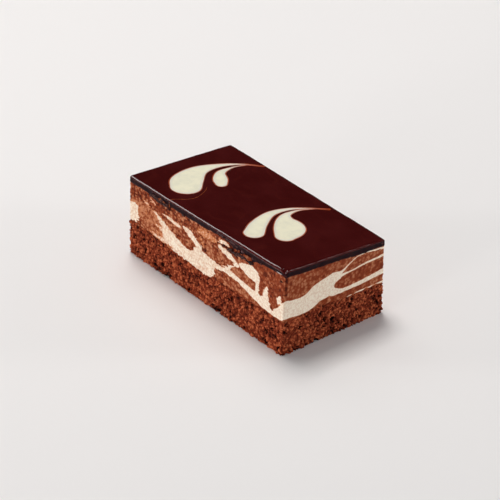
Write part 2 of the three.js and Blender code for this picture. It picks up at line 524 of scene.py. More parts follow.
@dataclass
class Corners:
    """A mesh's corners as arrays: where they are, and where they lie on the wall grid."""

    mesh: bpy.types.Mesh
    plan: SlicePlan
    places: np.ndarray = field(init=False)
    level: np.ndarray = field(init=False)
    inset: np.ndarray = field(init=False)
    around: np.ndarray = field(init=False)
    outward: np.ndarray = field(init=False)

    def __post_init__(self) -> None:
        """Read the arrays from the mesh."""
        points = read_corners(self.mesh).astype(float)
        self.places = points[:, :2]
        self.level = points[:, 2]
        self.inset = np.empty(len(points), np.float32)
        self.mesh.attributes["inset"].data.foreach_get("value", self.inset)
        self.around = self.plan.around(self.places)
        self.outward = self.plan.outward(self.places)

    def points(self, heights: np.ndarray) -> np.ndarray:
        """Join the places with heights into rows of x, y and z."""
        return np.column_stack([self.places, heights])

    def write(self, offset: np.ndarray, heights: np.ndarray) -> None:
        """Move the mesh's corners out from the wall and to their heights, in metres.

        Args:
            offset: How far each goes outward.
            heights: The height of each.
        """
        moved = self.places + self.outward * offset[:, None]
        write_corners(self.mesh, np.column_stack([moved, heights]))
        self.mesh.attributes.remove(self.mesh.attributes["inset"])
        self.mesh.update()


def paint(mesh: bpy.types.Mesh, name: str, values: np.ndarray) -> None:
    """Store one number at each corner of a mesh, under the name its material reads it by."""
    attribute = mesh.attributes.new(name, "FLOAT", "POINT")
    attribute.data.foreach_set("value", values.astype(np.float32))


def as_mesh(bm: bmesh.types.BMesh, name: str) -> bpy.types.Mesh:
    """Turn a bmesh into a smooth mesh, and free it.

    Args:
        bm: The shape.
        name: The mesh's name.

    Returns:
        The mesh.
    """
    mesh = bpy.data.meshes.new(name)
    bm.to_mesh(mesh)
    bm.free()
    mesh.shade_smooth()
    return mesh


def place(mesh: bpy.types.Mesh, material: bpy.types.Material) -> bpy.types.Object:
    """Put a mesh in the scene under its own name.

    Args:
        mesh: The mesh.
        material: Its finish.

    Returns:
        The object.
    """
    piece = bpy.data.objects.new(mesh.name, mesh)
    mesh.materials.append(material)
    bpy.context.scene.collection.objects.link(piece)
    return piece


# ---- Finishes -----------------------------------------------------------------------------------


class Bench:
    """Adds nodes to a material or a group and joins them."""

    def __init__(self, tree: bpy.types.NodeTree) -> None:
        """Start on a tree."""
        self.tree = tree

    def add(self, kind: str, settings: dict | None = None, **inputs: object) -> bpy.types.Node:
        """Add a node.

        Args:
            kind: The node's type, without its ShaderNode prefix.
            settings: The node's own settings.
            **inputs: What its sockets get, by their name with _ for a space.

        Returns:
            The node.
        """
        node = self.tree.nodes.new(f"ShaderNode{kind}")
        for name, value in (settings or {}).items():
            setattr(node, name, value)
        for name, value in inputs.items():
            self.feed(node.inputs[name.replace("_", " ")], value)
        return node

    def feed(self, socket: bpy.types.NodeSocket, value: object) -> None:
        """Link an output to a socket, or set the socket's own value.

        Args:
            socket: The socket.
            value: An output, a number, a colour or a vector.
        """
        if isinstance(value, bpy.types.NodeSocket):
            self.tree.links.new(value, socket)
        elif isinstance(value, tuple) and socket.type == "RGBA":
            socket.default_value = (*value, 1.0)
        else:
            socket.default_value = value

    def math(self, operation: str, *values: object) -> bpy.types.NodeSocket:
        """Work out one number from others, clamped to 0 and 1 only if the operation ends in !."""
        node = self.add("Math", {"operation": operation.rstrip("!"), "use_clamp": operation[-1] == "!"})
        for socket, value in zip(node.inputs, values):
            self.feed(socket, value)
        return node.outputs[0]

    def blend(self, share: object, first: object, second: object) -> bpy.types.NodeSocket:
        """Mix two colours, from the first at 0 to the second at 1."""
        node = self.add("Mix", {"data_type": "RGBA"})
        for index, value in ((0, share), (6, first), (7, second)):
            self.feed(node.inputs[index], value)
        return node.outputs[2]

    def span(self, value: object, start: float, stop: float) -> bpy.types.NodeSocket:
        """Run smoothly from 0 where the value is start to 1 where it is stop."""
        node = self.add("MapRange", {"interpolation_type": "SMOOTHSTEP"}, Value=value)
        node.inputs["From Min"].default_value = start
        node.inputs["From Max"].default_value = stop
        return node.outputs[0]

    def attribute(self, name: str) -> bpy.types.NodeSocket:
        """Read one number that is stored on the mesh."""
        return self.add("Attribute", {"attribute_name": name}).outputs["Fac"]

    def here(self) -> bpy.types.NodeSocket:
        """Read the place on the object."""
        return self.add("TexCoord").outputs["Object"]

    def noise(self, size: float, detail: float = 2.0, where: object = None) -> bpy.types.NodeSocket:
        """Give noise from 0 to 1 with lumps of a size in millimetres."""
        node = self.add("TexNoise", Vector=where or self.here(), Detail=detail)
        node.inputs["Scale"].default_value = 1 / (size * MM)
        return node.outputs["Fac"]

    def use(self, group: bpy.types.NodeTree, **inputs: object) -> bpy.types.bpy_prop_collection:
        """Place a group and give its outputs."""
        return self.add("Group", {"node_tree": group}, **inputs).outputs

    def mottled(
        self, kitchen: "Kitchen", colour: Colour, fleck: Colour, size: float, amount: object
    ) -> bpy.types.NodeSocket:
        """Mottle a colour with flecks of another."""
        return self.use(kitchen.mottle, Colour=colour, Fleck=fleck, Size=size, Amount=amount)["Mottled"]


def mottle_group() -> bpy.types.NodeTree:
    """Build the group that mottles a colour with flecks of another at two sizes.

    Returns:
        The group, with inputs Colour, Fleck, Size and Amount and the output Mottled.
    """
    group = bpy.data.node_groups.new("mottle", "ShaderNodeTree")
    for name, kind in (("Colour", "Color"), ("Fleck", "Color"), ("Size", "Float"), ("Amount", "Float")):
        group.interface.new_socket(name, in_out="INPUT", socket_type=f"NodeSocket{kind}")
    group.interface.new_socket("Mottled", in_out="OUTPUT", socket_type="NodeSocketColor")
    bench = Bench(group)
    entry = group.nodes.new("NodeGroupInput").outputs
    scale = bench.math("DIVIDE", 1 / MM, entry["Size"])
    cloud = bench.add("TexNoise", Vector=bench.here(), Scale=scale, Detail=3.0).outputs["Fac"]
    share = bench.math("MULTIPLY", bench.span(cloud, 0.35, 0.7), entry["Amount"])
    mixed = bench.blend(share, entry["Colour"], entry["Fleck"])
    bench.feed(group.nodes.new("NodeGroupOutput").inputs["Mottled"], mixed)
    return group


def crumb_group() -> bpy.types.NodeTree:
    """Build the group that covers a surface with small crumbs.

    Returns:
        The group, with the input Size and the outputs Height, from 0 between crumbs to 1 on them,
        and Shade, a number from 0 to 1 for each crumb.
    """
    group = bpy.data.node_groups.new("crumb", "ShaderNodeTree")
    group.interface.new_socket("Size", in_out="INPUT", socket_type="NodeSocketFloat")
    for name in ("Height", "Shade"):
        group.interface.new_socket(name, in_out="OUTPUT", socket_type="NodeSocketFloat")
    bench = Bench(group)
    size = group.nodes.new("NodeGroupInput").outputs["Size"]
    scale = bench.math("DIVIDE", 1 / MM, size)
    wander = bench.add("TexNoise", Vector=bench.here(), Scale=scale, Detail=2.0).outputs["Color"]
    shift = bench.add("VectorMath", {"operation": "SCALE"}, Vector=wander)
    bench.feed(shift.inputs["Scale"], bench.math("MULTIPLY", size, 0.9 * MM))
    where = bench.add("VectorMath", {"operation": "ADD"}, Vector=bench.here())
    bench.feed(where.inputs[1], shift.outputs[0])
    cells = bench.add("TexVoronoi", Vector=where.outputs[0], Scale=scale).outputs
    height = bench.span(cells["Distance"], 0.75, 0.1)
    shade = bench.add("SeparateXYZ", Vector=cells["Color"]).outputs[0]
    leave = group.nodes.new("NodeGroupOutput").inputs
    bench.feed(leave["Height"], height)
    bench.feed(leave["Shade"], shade)
    return group


@dataclass(frozen=True)
class Kitchen:
    """The shader groups that several finishes use."""

    mottle: bpy.types.NodeTree
    crumb: bpy.types.NodeTree

    @classmethod
    def open(cls) -> "Kitchen":
        """Build the groups once."""
        return cls(mottle_group(), crumb_group())


def new_finish(
    name: str, roughness: float, gloss: float
) -> tuple[bpy.types.Material, Bench, bpy.types.Node]:
    """Start a material.

    Args:
        name: The material's name.
        roughness: Its roughness.
        gloss: How strongly it mirrors, where 0.5 is usual.

    Returns:
        The material, a bench on its nodes and its Principled shader.
    """
    material = bpy.data.materials.new(name)
    material.use_nodes = True
    shader = material.node_tree.nodes["Principled BSDF"]
    shader.inputs["Roughness"].default_value = roughness
    shader.inputs["Specular IOR Level"].default_value = gloss
    return material, Bench(material.node_tree), shader


@dataclass(frozen=True)
class SpongeFinish:
    """Dry cocoa crumb: lit crumbs, a darker body and nearly black pores, with painted highlights on
    raised crumbs and painted shade in the pores and between crumbs.
    """

    # The first colour is a painted highlight for raised crumbs and the last is painted shade for pores
    # and the gaps between crumbs.
    crumb: Colour = srgb(198, 104, 67)
    body: Colour = srgb(125, 50, 31)
    pore_shade: Colour = srgb(30, 9, 8)

    def make(self, kitchen: Kitchen) -> bpy.types.Material:
        """Build the material.

        Args:
            kitchen: The shared groups.

        Returns:
            The material.
        """
        material, bench, shader = new_finish("cocoa_sponge", 0.9, 0.05)
        crumbs = bench.use(kitchen.crumb, Size=1.2)
        # Painted shade and highlight: darker in the relief's pits and between crumbs, lighter on raised
        # crumbs; each crumb's own tone and the large noise differ at random.
        rise = bench.math("MULTIPLY_ADD", bench.attribute("crumb"), 0.6, -0.3)
        rise = bench.math("MULTIPLY_ADD", crumbs["Height"], 0.5, rise)
        rise = bench.math("MULTIPLY_ADD", crumbs["Shade"], 0.4, rise)
        rise = bench.math("MULTIPLY_ADD", bench.noise(7.0), 0.6, bench.math("ADD", rise, -0.28))
        body = bench.blend(bench.span(rise, 0.0, 0.4), self.pore_shade, self.body)
        body = bench.blend(bench.span(rise, 0.4, 0.95), body, self.crumb)
        bench.feed(shader.inputs["Base Color"], body)
        bump = bench.add("Bump", Height=crumbs["Height"], Strength=0.9, Distance=0.35 * MM)
        bench.feed(shader.inputs["Normal"], bump.outputs[0])
        return material


@dataclass(frozen=True)
class MousseFinish:
    """Cream and milk chocolate mousse, marbled by the mesh's own cream and tone numbers, with painted
    shade in its hollows and between its crumbs.
    """

    cream: Colour = srgb(243, 229, 209)
    cream_shade: Colour = srgb(214, 172, 142)
    fringe: Colour = srgb(198, 118, 70)
    pale: Colour = srgb(190, 124, 88)
    dark: Colour = srgb(134, 56, 28)
    shadow: Colour = srgb(62, 18, 10)

    def make(self, kitchen: Kitchen) -> bpy.types.Material:
        """Build the material.

        Args:
            kitchen: The shared groups.

        Returns:
            The material.
        """
        material, bench, shader = new_finish("marbled_mousse", 0.7, 0.1)
        rough, hollow_shade = bench.attribute("rough"), bench.attribute("hollow_shade")
        fray = bench.math("MULTIPLY_ADD", bench.noise(0.6, 3.0), 0.9, -0.45)
        share = bench.math("MULTIPLY_ADD", fray, rough, bench.attribute("cream"))
        crumbs = bench.use(kitchen.crumb, Size=1.2)
        # Painted shade: the chocolate darkens between crumbs and pales on them, beside each crumb's
        # random tone.
        grain_and_gap_shade = bench.math("MULTIPLY_ADD", crumbs["Shade"], 1.4, -0.2)
        grain_and_gap_shade = bench.math("MULTIPLY_ADD", crumbs["Height"], -0.9, grain_and_gap_shade)
        weight = bench.math("MULTIPLY_ADD", rough, 0.55, 0.42)
        tone = bench.math("MULTIPLY_ADD", grain_and_gap_shade, weight, bench.attribute("tone"))
        # Painted shade: hollows darken the chocolate and tint the cream towards the fringe colour.
        tone = bench.math("ADD", tone, bench.math("MULTIPLY", hollow_shade, 0.45))
        chocolate = bench.blend(bench.span(tone, -0.1, 1.1), self.pale, self.dark)
        chocolate = bench.blend(bench.span(tone, 1.0, 2.0), chocolate, self.shadow)
        patchy = bench.math("MULTIPLY_ADD", rough, 0.35, 0.5)
        cream = bench.mottled(kitchen, self.cream, self.cream_shade, 0.75, patchy)
        cream = bench.blend(bench.math("MULTIPLY", hollow_shade, 0.5), cream, self.fringe)
        edge = bench.blend(bench.span(share, 0.2, 0.45), chocolate, self.fringe)
        marbled = bench.blend(bench.span(share, 0.4, 0.75), edge, cream)
        bench.feed(shader.inputs["Base Color"], marbled)
        strength = bench.math("MULTIPLY", rough, 0.5)
        bump = bench.add("Bump", Height=crumbs["Height"], Strength=strength, Distance=0.2 * MM)
        bench.feed(shader.inputs["Normal"], bump.outputs[0])
        return material


@dataclass(frozen=True)
class GlazeFinish:
    """Dark mirror glaze, faintly streaked with redder chocolate."""

    body: Colour = srgb(63, 11, 10)
    cloud: Colour = srgb(73, 18, 17)
    streak: Colour = srgb(80, 22, 17)

    def make(self, kitchen: Kitchen) -> bpy.types.Material:
        """Build the material of the mirror top.

        Args:
            kitchen: The shared groups.

        Returns:
            The material.
        """
        material, bench, shader = new_finish("dark_glaze", 0.12, 0.5)
        body = bench.mottled(kitchen, self.body, self.cloud, 14.0, 0.8)
        warp = bench.add("TexNoise", Vector=bench.here(), Scale=1 / (18 * MM)).outputs["Color"]
        drawn = bench.add("VectorMath", {"operation": "MULTIPLY_ADD"}, Vector=warp)
        drawn.inputs[1].default_value = (30 * MM, 30 * MM, 0.0)
        bench.feed(drawn.inputs[2], bench.here())
        stretched = bench.add("VectorMath", {"operation": "MULTIPLY"}, Vector=drawn.outputs[0])
        stretched.inputs[1].default_value = (0.35, 1.6, 0.0)
        streaks = bench.span(bench.noise(4.0, 3.0, stretched.outputs[0]), 0.5, 0.8)
        body = bench.blend(bench.math("MULTIPLY", streaks, 0.6), body, self.streak)
        bench.feed(shader.inputs["Base Color"], body)
        return material


@dataclass(frozen=True)
class GlazeCutFinish:
    """The cut side of the glaze or a scrap of it, nearly black, where the knife has dragged it."""

    name: str = "dark_glaze_cut"
    body: Colour = srgb(27, 13, 19)
    brown: Colour = srgb(50, 18, 15)
    roughness: float = 0.3
    gloss: float = 0.03

    def make(self, kitchen: Kitchen) -> bpy.types.Material:
        """Build the material.

        Args:
            kitchen: The shared groups.

        Returns:
            The material.
        """
        material, bench, shader = new_finish(self.name, self.roughness, self.gloss)
        body = bench.mottled(kitchen, self.body, self.brown, 1.6, 0.6)
        bench.feed(shader.inputs["Base Color"], body)
        return material


SCRAP_FINISH = GlazeCutFinish("dark_glaze_scrap", srgb(36, 11, 10), srgb(84, 32, 20), 0.3, 0.2)


@dataclass(frozen=True)
class CaramelFinish:
    """Glossy caramel, thin enough for the glaze to darken it."""

    body: Colour = srgb(146, 70, 30)
    thin: Colour = srgb(96, 38, 22)

    def make(self, kitchen: Kitchen) -> bpy.types.Material:
        """Build the material.

        Args:
            kitchen: The shared groups.

        Returns:
            The material.
        """
        material, bench, shader = new_finish("caramel", 0.3, 0.2)
        bench.feed(shader.inputs["Base Color"], bench.mottled(kitchen, self.body, self.thin, 3.0, 0.9))
        return material


@dataclass(frozen=True)
class WhiteChocolateFinish:
    """White chocolate that bleeds caramel at its rim, its tail thinning into the glaze."""

    white: Colour = srgb(249, 239, 209)
    shade: Colour = srgb(232, 224, 198)
    thin: Colour = srgb(232, 222, 204)
    pink: Colour = srgb(186, 122, 104)
    tip: Colour = srgb(112, 40, 30)
    caramel: Colour = srgb(172, 70, 26)
    glaze: Colour = srgb(62, 14, 13)

    def make(self, kitchen: Kitchen) -> bpy.types.Material:
        """Build the material.

        Args:
            kitchen: The shared groups.

        Returns:
            The material.
        """
        material, bench, shader = new_finish("white_chocolate", 0.3, 0.4)
        edge, tail = bench.attribute("edge"), bench.attribute("tail")
        white = bench.mottled(kitchen, self.white, self.shade, 3.0, 0.6)
        white = bench.blend(bench.span(edge, -1.6, -0.2), white, self.thin)
        white = bench.blend(bench.span(tail, 13.0, 5.0), white, self.pink)
        white = bench.blend(bench.span(tail, 7.0, -1.0), white, self.tip)
        bleed = bench.span(bench.noise(9.0), 0.3, 0.6)
        reach = bench.math("MULTIPLY_ADD", bleed, 0.28, 0.24)
        outer = bench.math("DIVIDE", edge, reach)
        rim = bench.blend(bench.span(outer, 0.3, 1.0), self.caramel, self.glaze)
        bench.feed(shader.inputs["Base Color"], bench.blend(bench.span(edge, 0.06, -0.2), rim, white))
        return material


# ---- The sponge ---------------------------------------------------------------------------------


@dataclass(frozen=True)
class SpongeBase:
    """The cocoa sponge, with open pores and torn crumb on its cut sides."""

    plan: SlicePlan
    cell: float = 0.22
    rows: int = 62
    crumbs: Bubbles = Bubbles(1.55, (0.55, 1.1), 0.95, 31)
    small_crumbs: Bubbles = Bubbles(0.7, (0.25, 0.45), 0.8, 36)
    pores: Bubbles = Bubbles(2.4, (0.5, 1.2), 0.45, 11)
    small_pores: Bubbles = Bubbles(1.2, (0.25, 0.6), 0.6, 21)
    wander: float = 0.4
    crumb_rise: float = 1.2
    pore_depth: float = 1.1
    sink: float = 0.85
    swell: float = 0.2
    relief_range: tuple[float, float] = (-1.4, 0.3)
    ragged_rim: float = 0.45
    # How strongly painted shade darkens the sponge, in patches, towards its foot.
    foot_shade: float = 0.3

    def build(self, finish: bpy.types.Material) -> bpy.types.Object:
        """Make the sponge.

        Args:
            finish: The sponge's material.

        Returns:
            The sponge.
        """
        mesh = as_mesh(WallGrid(self.plan, self.cell, self.rows).build(), "cocoa_sponge")
        corners = Corners(mesh, self.plan)
        shelf = self.plan.line_height(self.plan.sponge_line, corners.around)
        heights = corners.level * shelf
        points = corners.points(heights)
        warped = Grain.nudge(points, 1.1, self.wander, 1)
        lumps = np.maximum(self.crumbs.depth(warped), 0.3 + self.small_crumbs.depth(warped))
        pits = np.maximum(self.pores.depth(warped), self.small_pores.depth(warped))
        relief = self.crumb_rise * lumps - self.pore_depth * pits - self.sink
        relief = relief + self.swell * Grain.fractal(points, 6.0, 41)
        wall = corners.inset == 0
        offset = np.where(wall, np.clip(relief, *self.relief_range), 0.0)
        ragged = self.ragged_rim * Grain.fractal(points, 1.5, 51) * ease(corners.level, 0.9, 1.0)
        corners.write(offset, heights + np.where(wall, ragged, -0.2 * corners.level))
        # Painted shade: the crumb number follows the relief, low in pits and high on raised crumbs, and
        # is lowered in patches towards the foot.
        foot_shade = self.foot_shade * ease(heights, 4.0, 0.0) * ease(Grain.smooth(points, 9.0, 66), -0.5, 0.5)
        paint(mesh, "crumb", ease(relief + 0.2 * Grain.smooth(points, 0.7, 61), -1.1, 0.2) - foot_shade)
        self.plan.settle(mesh)
        sponge = place(mesh, finish)
        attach(sponge, "root")
        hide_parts("sponge_base")
        return sponge


@dataclass(frozen=True)
class ClingingCrumbs:
    """Loose crumbs that cling to the sponge's sides, most of them at its foot."""

    plan: SlicePlan
    count: int = 620
    radii: tuple[float, float] = (0.2, 0.6)
    depth: float = 0.35
    dents: float = 0.12
    seed: int = 7

    def build(self, finish: bpy.types.Material) -> bpy.types.Object:
        """Make the crumbs as one mesh.

        Args:
            finish: The sponge's material.

        Returns:
            The crumbs.
        """
        draw = np.random.default_rng(self.seed)
        bm = bmesh.new()
        for _ in range(self.count):
            radius = self.radii[0] + (self.radii[1] - self.radii[0]) * draw.random() ** 2
            around = draw.random() * self.plan.perimeter
            shelf = float(self.plan.line_height(self.plan.sponge_line, np.array([around]))[0])
            height = max(0.9 * radius, shelf * draw.random() ** 1.5)
            spot = Matrix.Translation((*self.plan.wall_place(around, self.depth), height))
            stretch = Matrix.Diagonal((*(radius * draw.uniform(0.7, 1.15, 3)), 1.0))
            turn = Matrix.Rotation(draw.uniform(0.0, math.tau), 4, Vector(draw.normal(size=3)))
            bmesh.ops.create_icosphere(bm, subdivisions=1, radius=1.0, matrix=spot @ turn @ stretch)
        mesh = as_mesh(bm, "clinging_crumbs")
        points = Grain.nudge(read_corners(mesh).astype(float), 0.35, self.dents, 71)
        points[:, 2] = np.maximum(points[:, 2], 0.0)
        write_corners(mesh, points)
        # Painted highlight: the clinging crumbs get a high crumb number, like raised crumbs.
        paint(mesh, "crumb", 0.75 + 0.25 * Grain.smooth(points, 0.8, 81))
        self.plan.settle(mesh)
        crumbs = place(mesh, finish)
        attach(crumbs, "root")
        return crumbs


# ---- The mousse ---------------------------------------------------------------------------------


class Side(Enum):
    """A side of the piece: where its strokes' places start from, and which way they run."""

    FRONT = "front"
    RIGHT = "right"
    BACK = "back"
    LEFT = "left"

    def around(self, plan: SlicePlan, place: float) -> float:
        """Turn an x or y on this side into a distance round the sides.

        Args:
            plan: The plan of the piece.
            place: The x on a long side, or the y on a short one.

        Returns:
            The distance.
        """
        half_length, half_width = (float(value) for value in plan.half)
        return {
            Side.FRONT: half_length + place,
            Side.RIGHT: 2 * half_length + half_width + place,
            Side.BACK: 3 * half_length + 2 * half_width - place,
            Side.LEFT: 4 * half_length + 3 * half_width - place,
        }[self]


class Marble(Enum):
    """What a stroke is made of: how much cream it holds and how dark its chocolate is."""

    CREAM = (1.0, 0.3)
    FAINT_CREAM = (0.62, 0.3)
    FLECKED_CREAM = (0.45, 0.2)
    MILK = (0.0, 0.45)
    COCOA = (0.0, 0.8)
    PALE_MILK = (0.2, 0.05)
    DARK = (0.0, 0.85)
    SHADE = (0.0, 2.0)


@dataclass(frozen=True)
class Streak:
    """One streak of marbling on a side: its stuff, its run and how softly it ends.

    The run is a row of knots, each with a place along the side, a height and half a thickness.
    """

    side: Side
    stuff: Marble
    run: Knots
    soft: float


def lay(side: Side, *rows: tuple) -> tuple[Streak, ...]:
    """List the streaks of one side, in the order they are laid.

    Args:
        side: The side.
        *rows: For each streak its stuff, how softly it ends, and its knots.

    Returns:
        The streaks.
    """
    return tuple(Streak(side, stuff, tuple(run), soft) for stuff, soft, *run in rows)


FRONT_STREAKS = lay(
    Side.FRONT,
    (Marble.PALE_MILK, 2.0, (-44, 22, 4), (-35, 21.5, 5), (-26, 19.5, 5)),
    (Marble.CREAM, 0.5, (-52, 21.8, 2.2), (-47, 21.9, 2.1), (-44.4, 22.2, 1.8)),
    (Marble.CREAM, 0.5, (-52, 18.4, 2.1), (-47, 18.3, 1.9), (-45.3, 18, 1.5)),
    (Marble.FAINT_CREAM, 0.3, (-38.8, 28, 0.3), (-36.8, 27.8, 0.6), (-34.4, 27.1, 0.3)),
    (Marble.FAINT_CREAM, 0.3, (-34.2, 30.4, 0.3), (-31.6, 29.8, 0.4), (-30.4, 29.2, 0.2)),
    (Marble.FAINT_CREAM, 0.5, (-34.4, 16.3, 0.3), (-30, 15.8, 0.8), (-24, 15.8, 1.2)),
    (Marble.FAINT_CREAM, 0.6, (-31, 20.6, 0.2), (-28, 20.5, 0.7), (-23, 20, 2.0)),
    (Marble.FAINT_CREAM, 0.5, (-29.5, 18, 0.2), (-26.5, 18, 0.5), (-23, 18, 1.5)),
    (
        Marble.CREAM, 1.2, (-31, 25.6, 0.3), (-28.4, 24.7, 0.8), (-25, 22.6, 1.6), (-21.6, 19.2, 3.4),
        (-17, 17.4, 3.8),
    ),
    (Marble.CREAM, 0.3, (-18, 17.4, 3.8), (-12, 16.3, 3.2), (-4, 16.6, 3.7), (3.2, 16.6, 3.4)),
    (Marble.CREAM, 0.3, (-4, 18, 2.6), (-3.2, 21, 2.4), (-4.6, 24, 1.7), (-6.8, 25.8, 1.1)),
    (Marble.CREAM, 0.3, (-2, 19, 3.2), (1, 19.6, 2.6), (5, 19.4, 2)),
    (Marble.CREAM, 0.6, (-25.5, 27.5, 0.3), (-22.4, 27.4, 0.6), (-18.4, 26.9, 0.8), (-14.5, 26.2, 0.6)),
    (Marble.CREAM, 0.5, (-12.6, 27.5, 0.5), (-10, 26.8, 1.3), (-7.2, 25.9, 1.1)),
    (
        Marble.MILK, 0.6, (-27.2, 25.5, 0.3), (-22.4, 24.6, 1.2), (-16, 23.2, 1.9), (-11, 22, 2.6),
        (-8.2, 21.8, 2.5),
    ),
    (Marble.FLECKED_CREAM, 0.7, (-3.4, 30.4, 1.2), (0, 31, 2), (4, 30.8, 1.7), (8.2, 30.4, 0.8)),
    (Marble.FLECKED_CREAM, 0.6, (-2.6, 27.8, 0.9), (-0.8, 26, 0.8), (-0.4, 24.6, 0.5)),
    (Marble.CREAM, 0.3, (8.4, 31.2, 0.4), (11, 32, 0.9), (14, 32.1, 0.6)),
    (Marble.CREAM, 0.3, (9, 29.7, 0.4), (12.4, 28.9, 1.4), (16, 27.9, 1.4), (19.4, 26.9, 0.6)),
    (Marble.SHADE, 0.3, (8.6, 30.6, 0.3), (13, 30.9, 0.4), (16.4, 30.4, 0.6), (19.8, 29.6, 0.5)),
    (Marble.SHADE, 0.5, (14, 32.8, 0.3), (18, 31.8, 0.6), (22, 31.2, 0.5), (26, 31.2, 0.3)),
    (Marble.FAINT_CREAM, 0.3, (19.2, 30.6, 0.5), (21.6, 30.4, 0.4)),
    (
        Marble.CREAM, 0.3, (4, 20.2, 1.3), (10, 20.2, 1), (14, 20.9, 1.3), (20, 20.4, 1.1),
        (25, 19.5, 1.3), (30, 18.5, 1.8),
    ),
    (Marble.CREAM, 0.3, (30, 18.5, 1.8), (34, 18, 2.2), (38, 17.3, 2.3), (42, 16.3, 1.8)),
    (Marble.CREAM, 0.3, (20.4, 26.3, 0.8), (17, 24.4, 0.8), (14.4, 22.4, 1.2), (13, 21, 1.1)),
    (
        Marble.MILK, 0.3, (3.4, 25.4, 2.7), (7.4, 25, 3.2), (11.4, 24.3, 2.4), (14.6, 24.6, 1),
        (18, 25.3, 0.4),
    ),
    (
        Marble.CREAM, 0.3, (22.7, 27.3, 1.3), (26, 27.2, 2.4), (29.8, 26.9, 2.8), (31.9, 24.4, 1.3),
        (32, 20.5, 1),
    ),
    (
        Marble.MILK, 0.3, (16.6, 22.2, 0.3), (19.4, 22.8, 1.1), (23.4, 22.9, 1.6), (27.5, 22.2, 1.8),
        (29.6, 21.9, 1.5),
    ),
    (
        Marble.MILK, 0.3, (9.1, 16, 2.4), (14, 17, 2.4), (19, 17, 2.4), (25, 16, 2), (30, 15, 1.4),
        (36.4, 14.6, 0.6),
    ),
    (Marble.DARK, 0.5, (38, 29.5, 4.6), (42, 29.6, 5), (47, 30.3, 5)),
    (Marble.DARK, 0.3, (34.8, 27, 1.7), (34.6, 24, 1.3), (34.2, 21.6, 0.9), (33.9, 20.4, 0.5)),
    (Marble.CREAM, 0.3, (37.3, 25, 0.5), (37.2, 23, 1.2), (37, 20.5, 1.8), (37, 18, 2.3)),
    (Marble.DARK, 0.3, (41, 25.5, 2.3), (41, 22, 1.9), (41.1, 19.5, 1.5), (41, 17.9, 1.0)),
    (Marble.CREAM, 0.3, (43.6, 17.1, 1.9), (46, 17.5, 2.5), (48.4, 19.6, 2.6), (49.2, 20.8, 3.1)),
    (Marble.DARK, 0.3, (47, 25, 0.6), (46.6, 22.2, 0.5), (45.8, 20.8, 0.7), (43.4, 20.5, 0.5)),
    (Marble.CREAM, 0.3, (45.3, 24.2, 0.7), (44.8, 22.8, 1.2), (44.1, 21.7, 0.7)),
    (Marble.FAINT_CREAM, 0.3, (34.8, 14.2, 0.3), (37, 14.8, 0.3)),
)

RIGHT_STREAKS = lay(
    Side.RIGHT,
    (
        Marble.CREAM, 0.3, (-24, 19.6, 3.9), (-20, 19.3, 3.6), (-15.5, 19, 3.9), (-12, 19.8, 4.1),
        (-8, 21.8, 4.3), (-4, 22.5, 4.6), (-1.5, 23.2, 4.4),
    ),
    (
        Marble.CREAM, 0.2, (-1, 26, 1.8), (3.2, 26.6, 0.7), (6.7, 28.7, 0.3), (10, 30.3, 0.25),
        (13, 30.8, 0.25), (17, 30.6, 0.3), (26, 29.5, 0.4),
    ),
    (
        Marble.CREAM, 0.2, (0, 24.9, 1.6), (4, 25.1, 0.6), (9, 25.3, 0.35), (14, 26, 0.4),
        (26, 26.5, 0.5),
    ),
    (Marble.CREAM, 0.3, (-1, 19.2, 1.7), (4.5, 18.1, 0.8), (12, 18.3, 0.9), (26, 19.3, 1.1)),
    (
        Marble.COCOA, 0.3, (0.8, 21.8, 1.2), (3.4, 21.8, 2.2), (8, 22, 2.8), (15, 22.4, 2.7),
        (26, 22.9, 2.5),
    ),
    (Marble.COCOA, 0.3, (7.4, 27.1, 0.7), (10, 27.9, 1.5), (14, 28.3, 1.7)),
    (
        Marble.CREAM, 0.3, (6, 14, 0.2), (8, 14.3, 0.3), (9.5, 14.2, 0.05), (11, 14.5, 0.3),
        (14, 14.5, 0.4), (16, 14.8, 0.1), (18, 14.5, 0.3), (20.5, 14.7, 0.15), (23, 14.5, 0.4),
        (26, 14.5, 0.5),
    ),
    (Marble.SHADE, 0.8, (-24.3, 35, 0.5), (-24.2, 31, 0.4), (-24.1, 26, 0.3)),
)

BACK_STREAKS = lay(
    Side.BACK,
    (Marble.CREAM, 0.3, (50, 29.6, 0.4), (40, 29, 0.7), (28, 27.8, 1.6), (16, 26, 1.7), (4, 26.6, 0.5)),
    (Marble.CREAM, 0.3, (50, 26.5, 0.5), (38, 25.2, 0.7), (28, 24, 0.5)),
    (
        Marble.CREAM, 0.3, (50, 19.2, 1.1), (36, 19.6, 1.6), (20, 20, 2.4), (4, 21.6, 2.9),
        (-10, 21.4, 2.6), (-26, 18.9, 2.6), (-50, 18.8, 2.6),
    ),
    (Marble.DARK, 0.5, (26, 21.3, 0.4), (16, 21.6, 1.2), (7, 22.6, 1.2)),
    (Marble.MILK, 0.3, (-2, 19.2, 0.4), (-12, 19.8, 1.3), (-21, 18.4, 1.4)),
    (Marble.CREAM, 0.3, (-4, 15, 0.6), (-18, 15.8, 1.1), (-34, 15.4, 0.6)),
    (Marble.CREAM, 0.3, (-14, 26.8, 0.4), (-24, 27.4, 1.6), (-34, 26.4, 1.9), (-43, 24.6, 0.8)),
    (Marble.DARK, 0.5, (-30, 24.4, 0.5), (-38, 22.8, 1.2), (-44, 22.2, 0.8)),
    (Marble.PALE_MILK, 1.6, (44, 23, 2), (34, 23, 3), (26, 24, 2)),
)

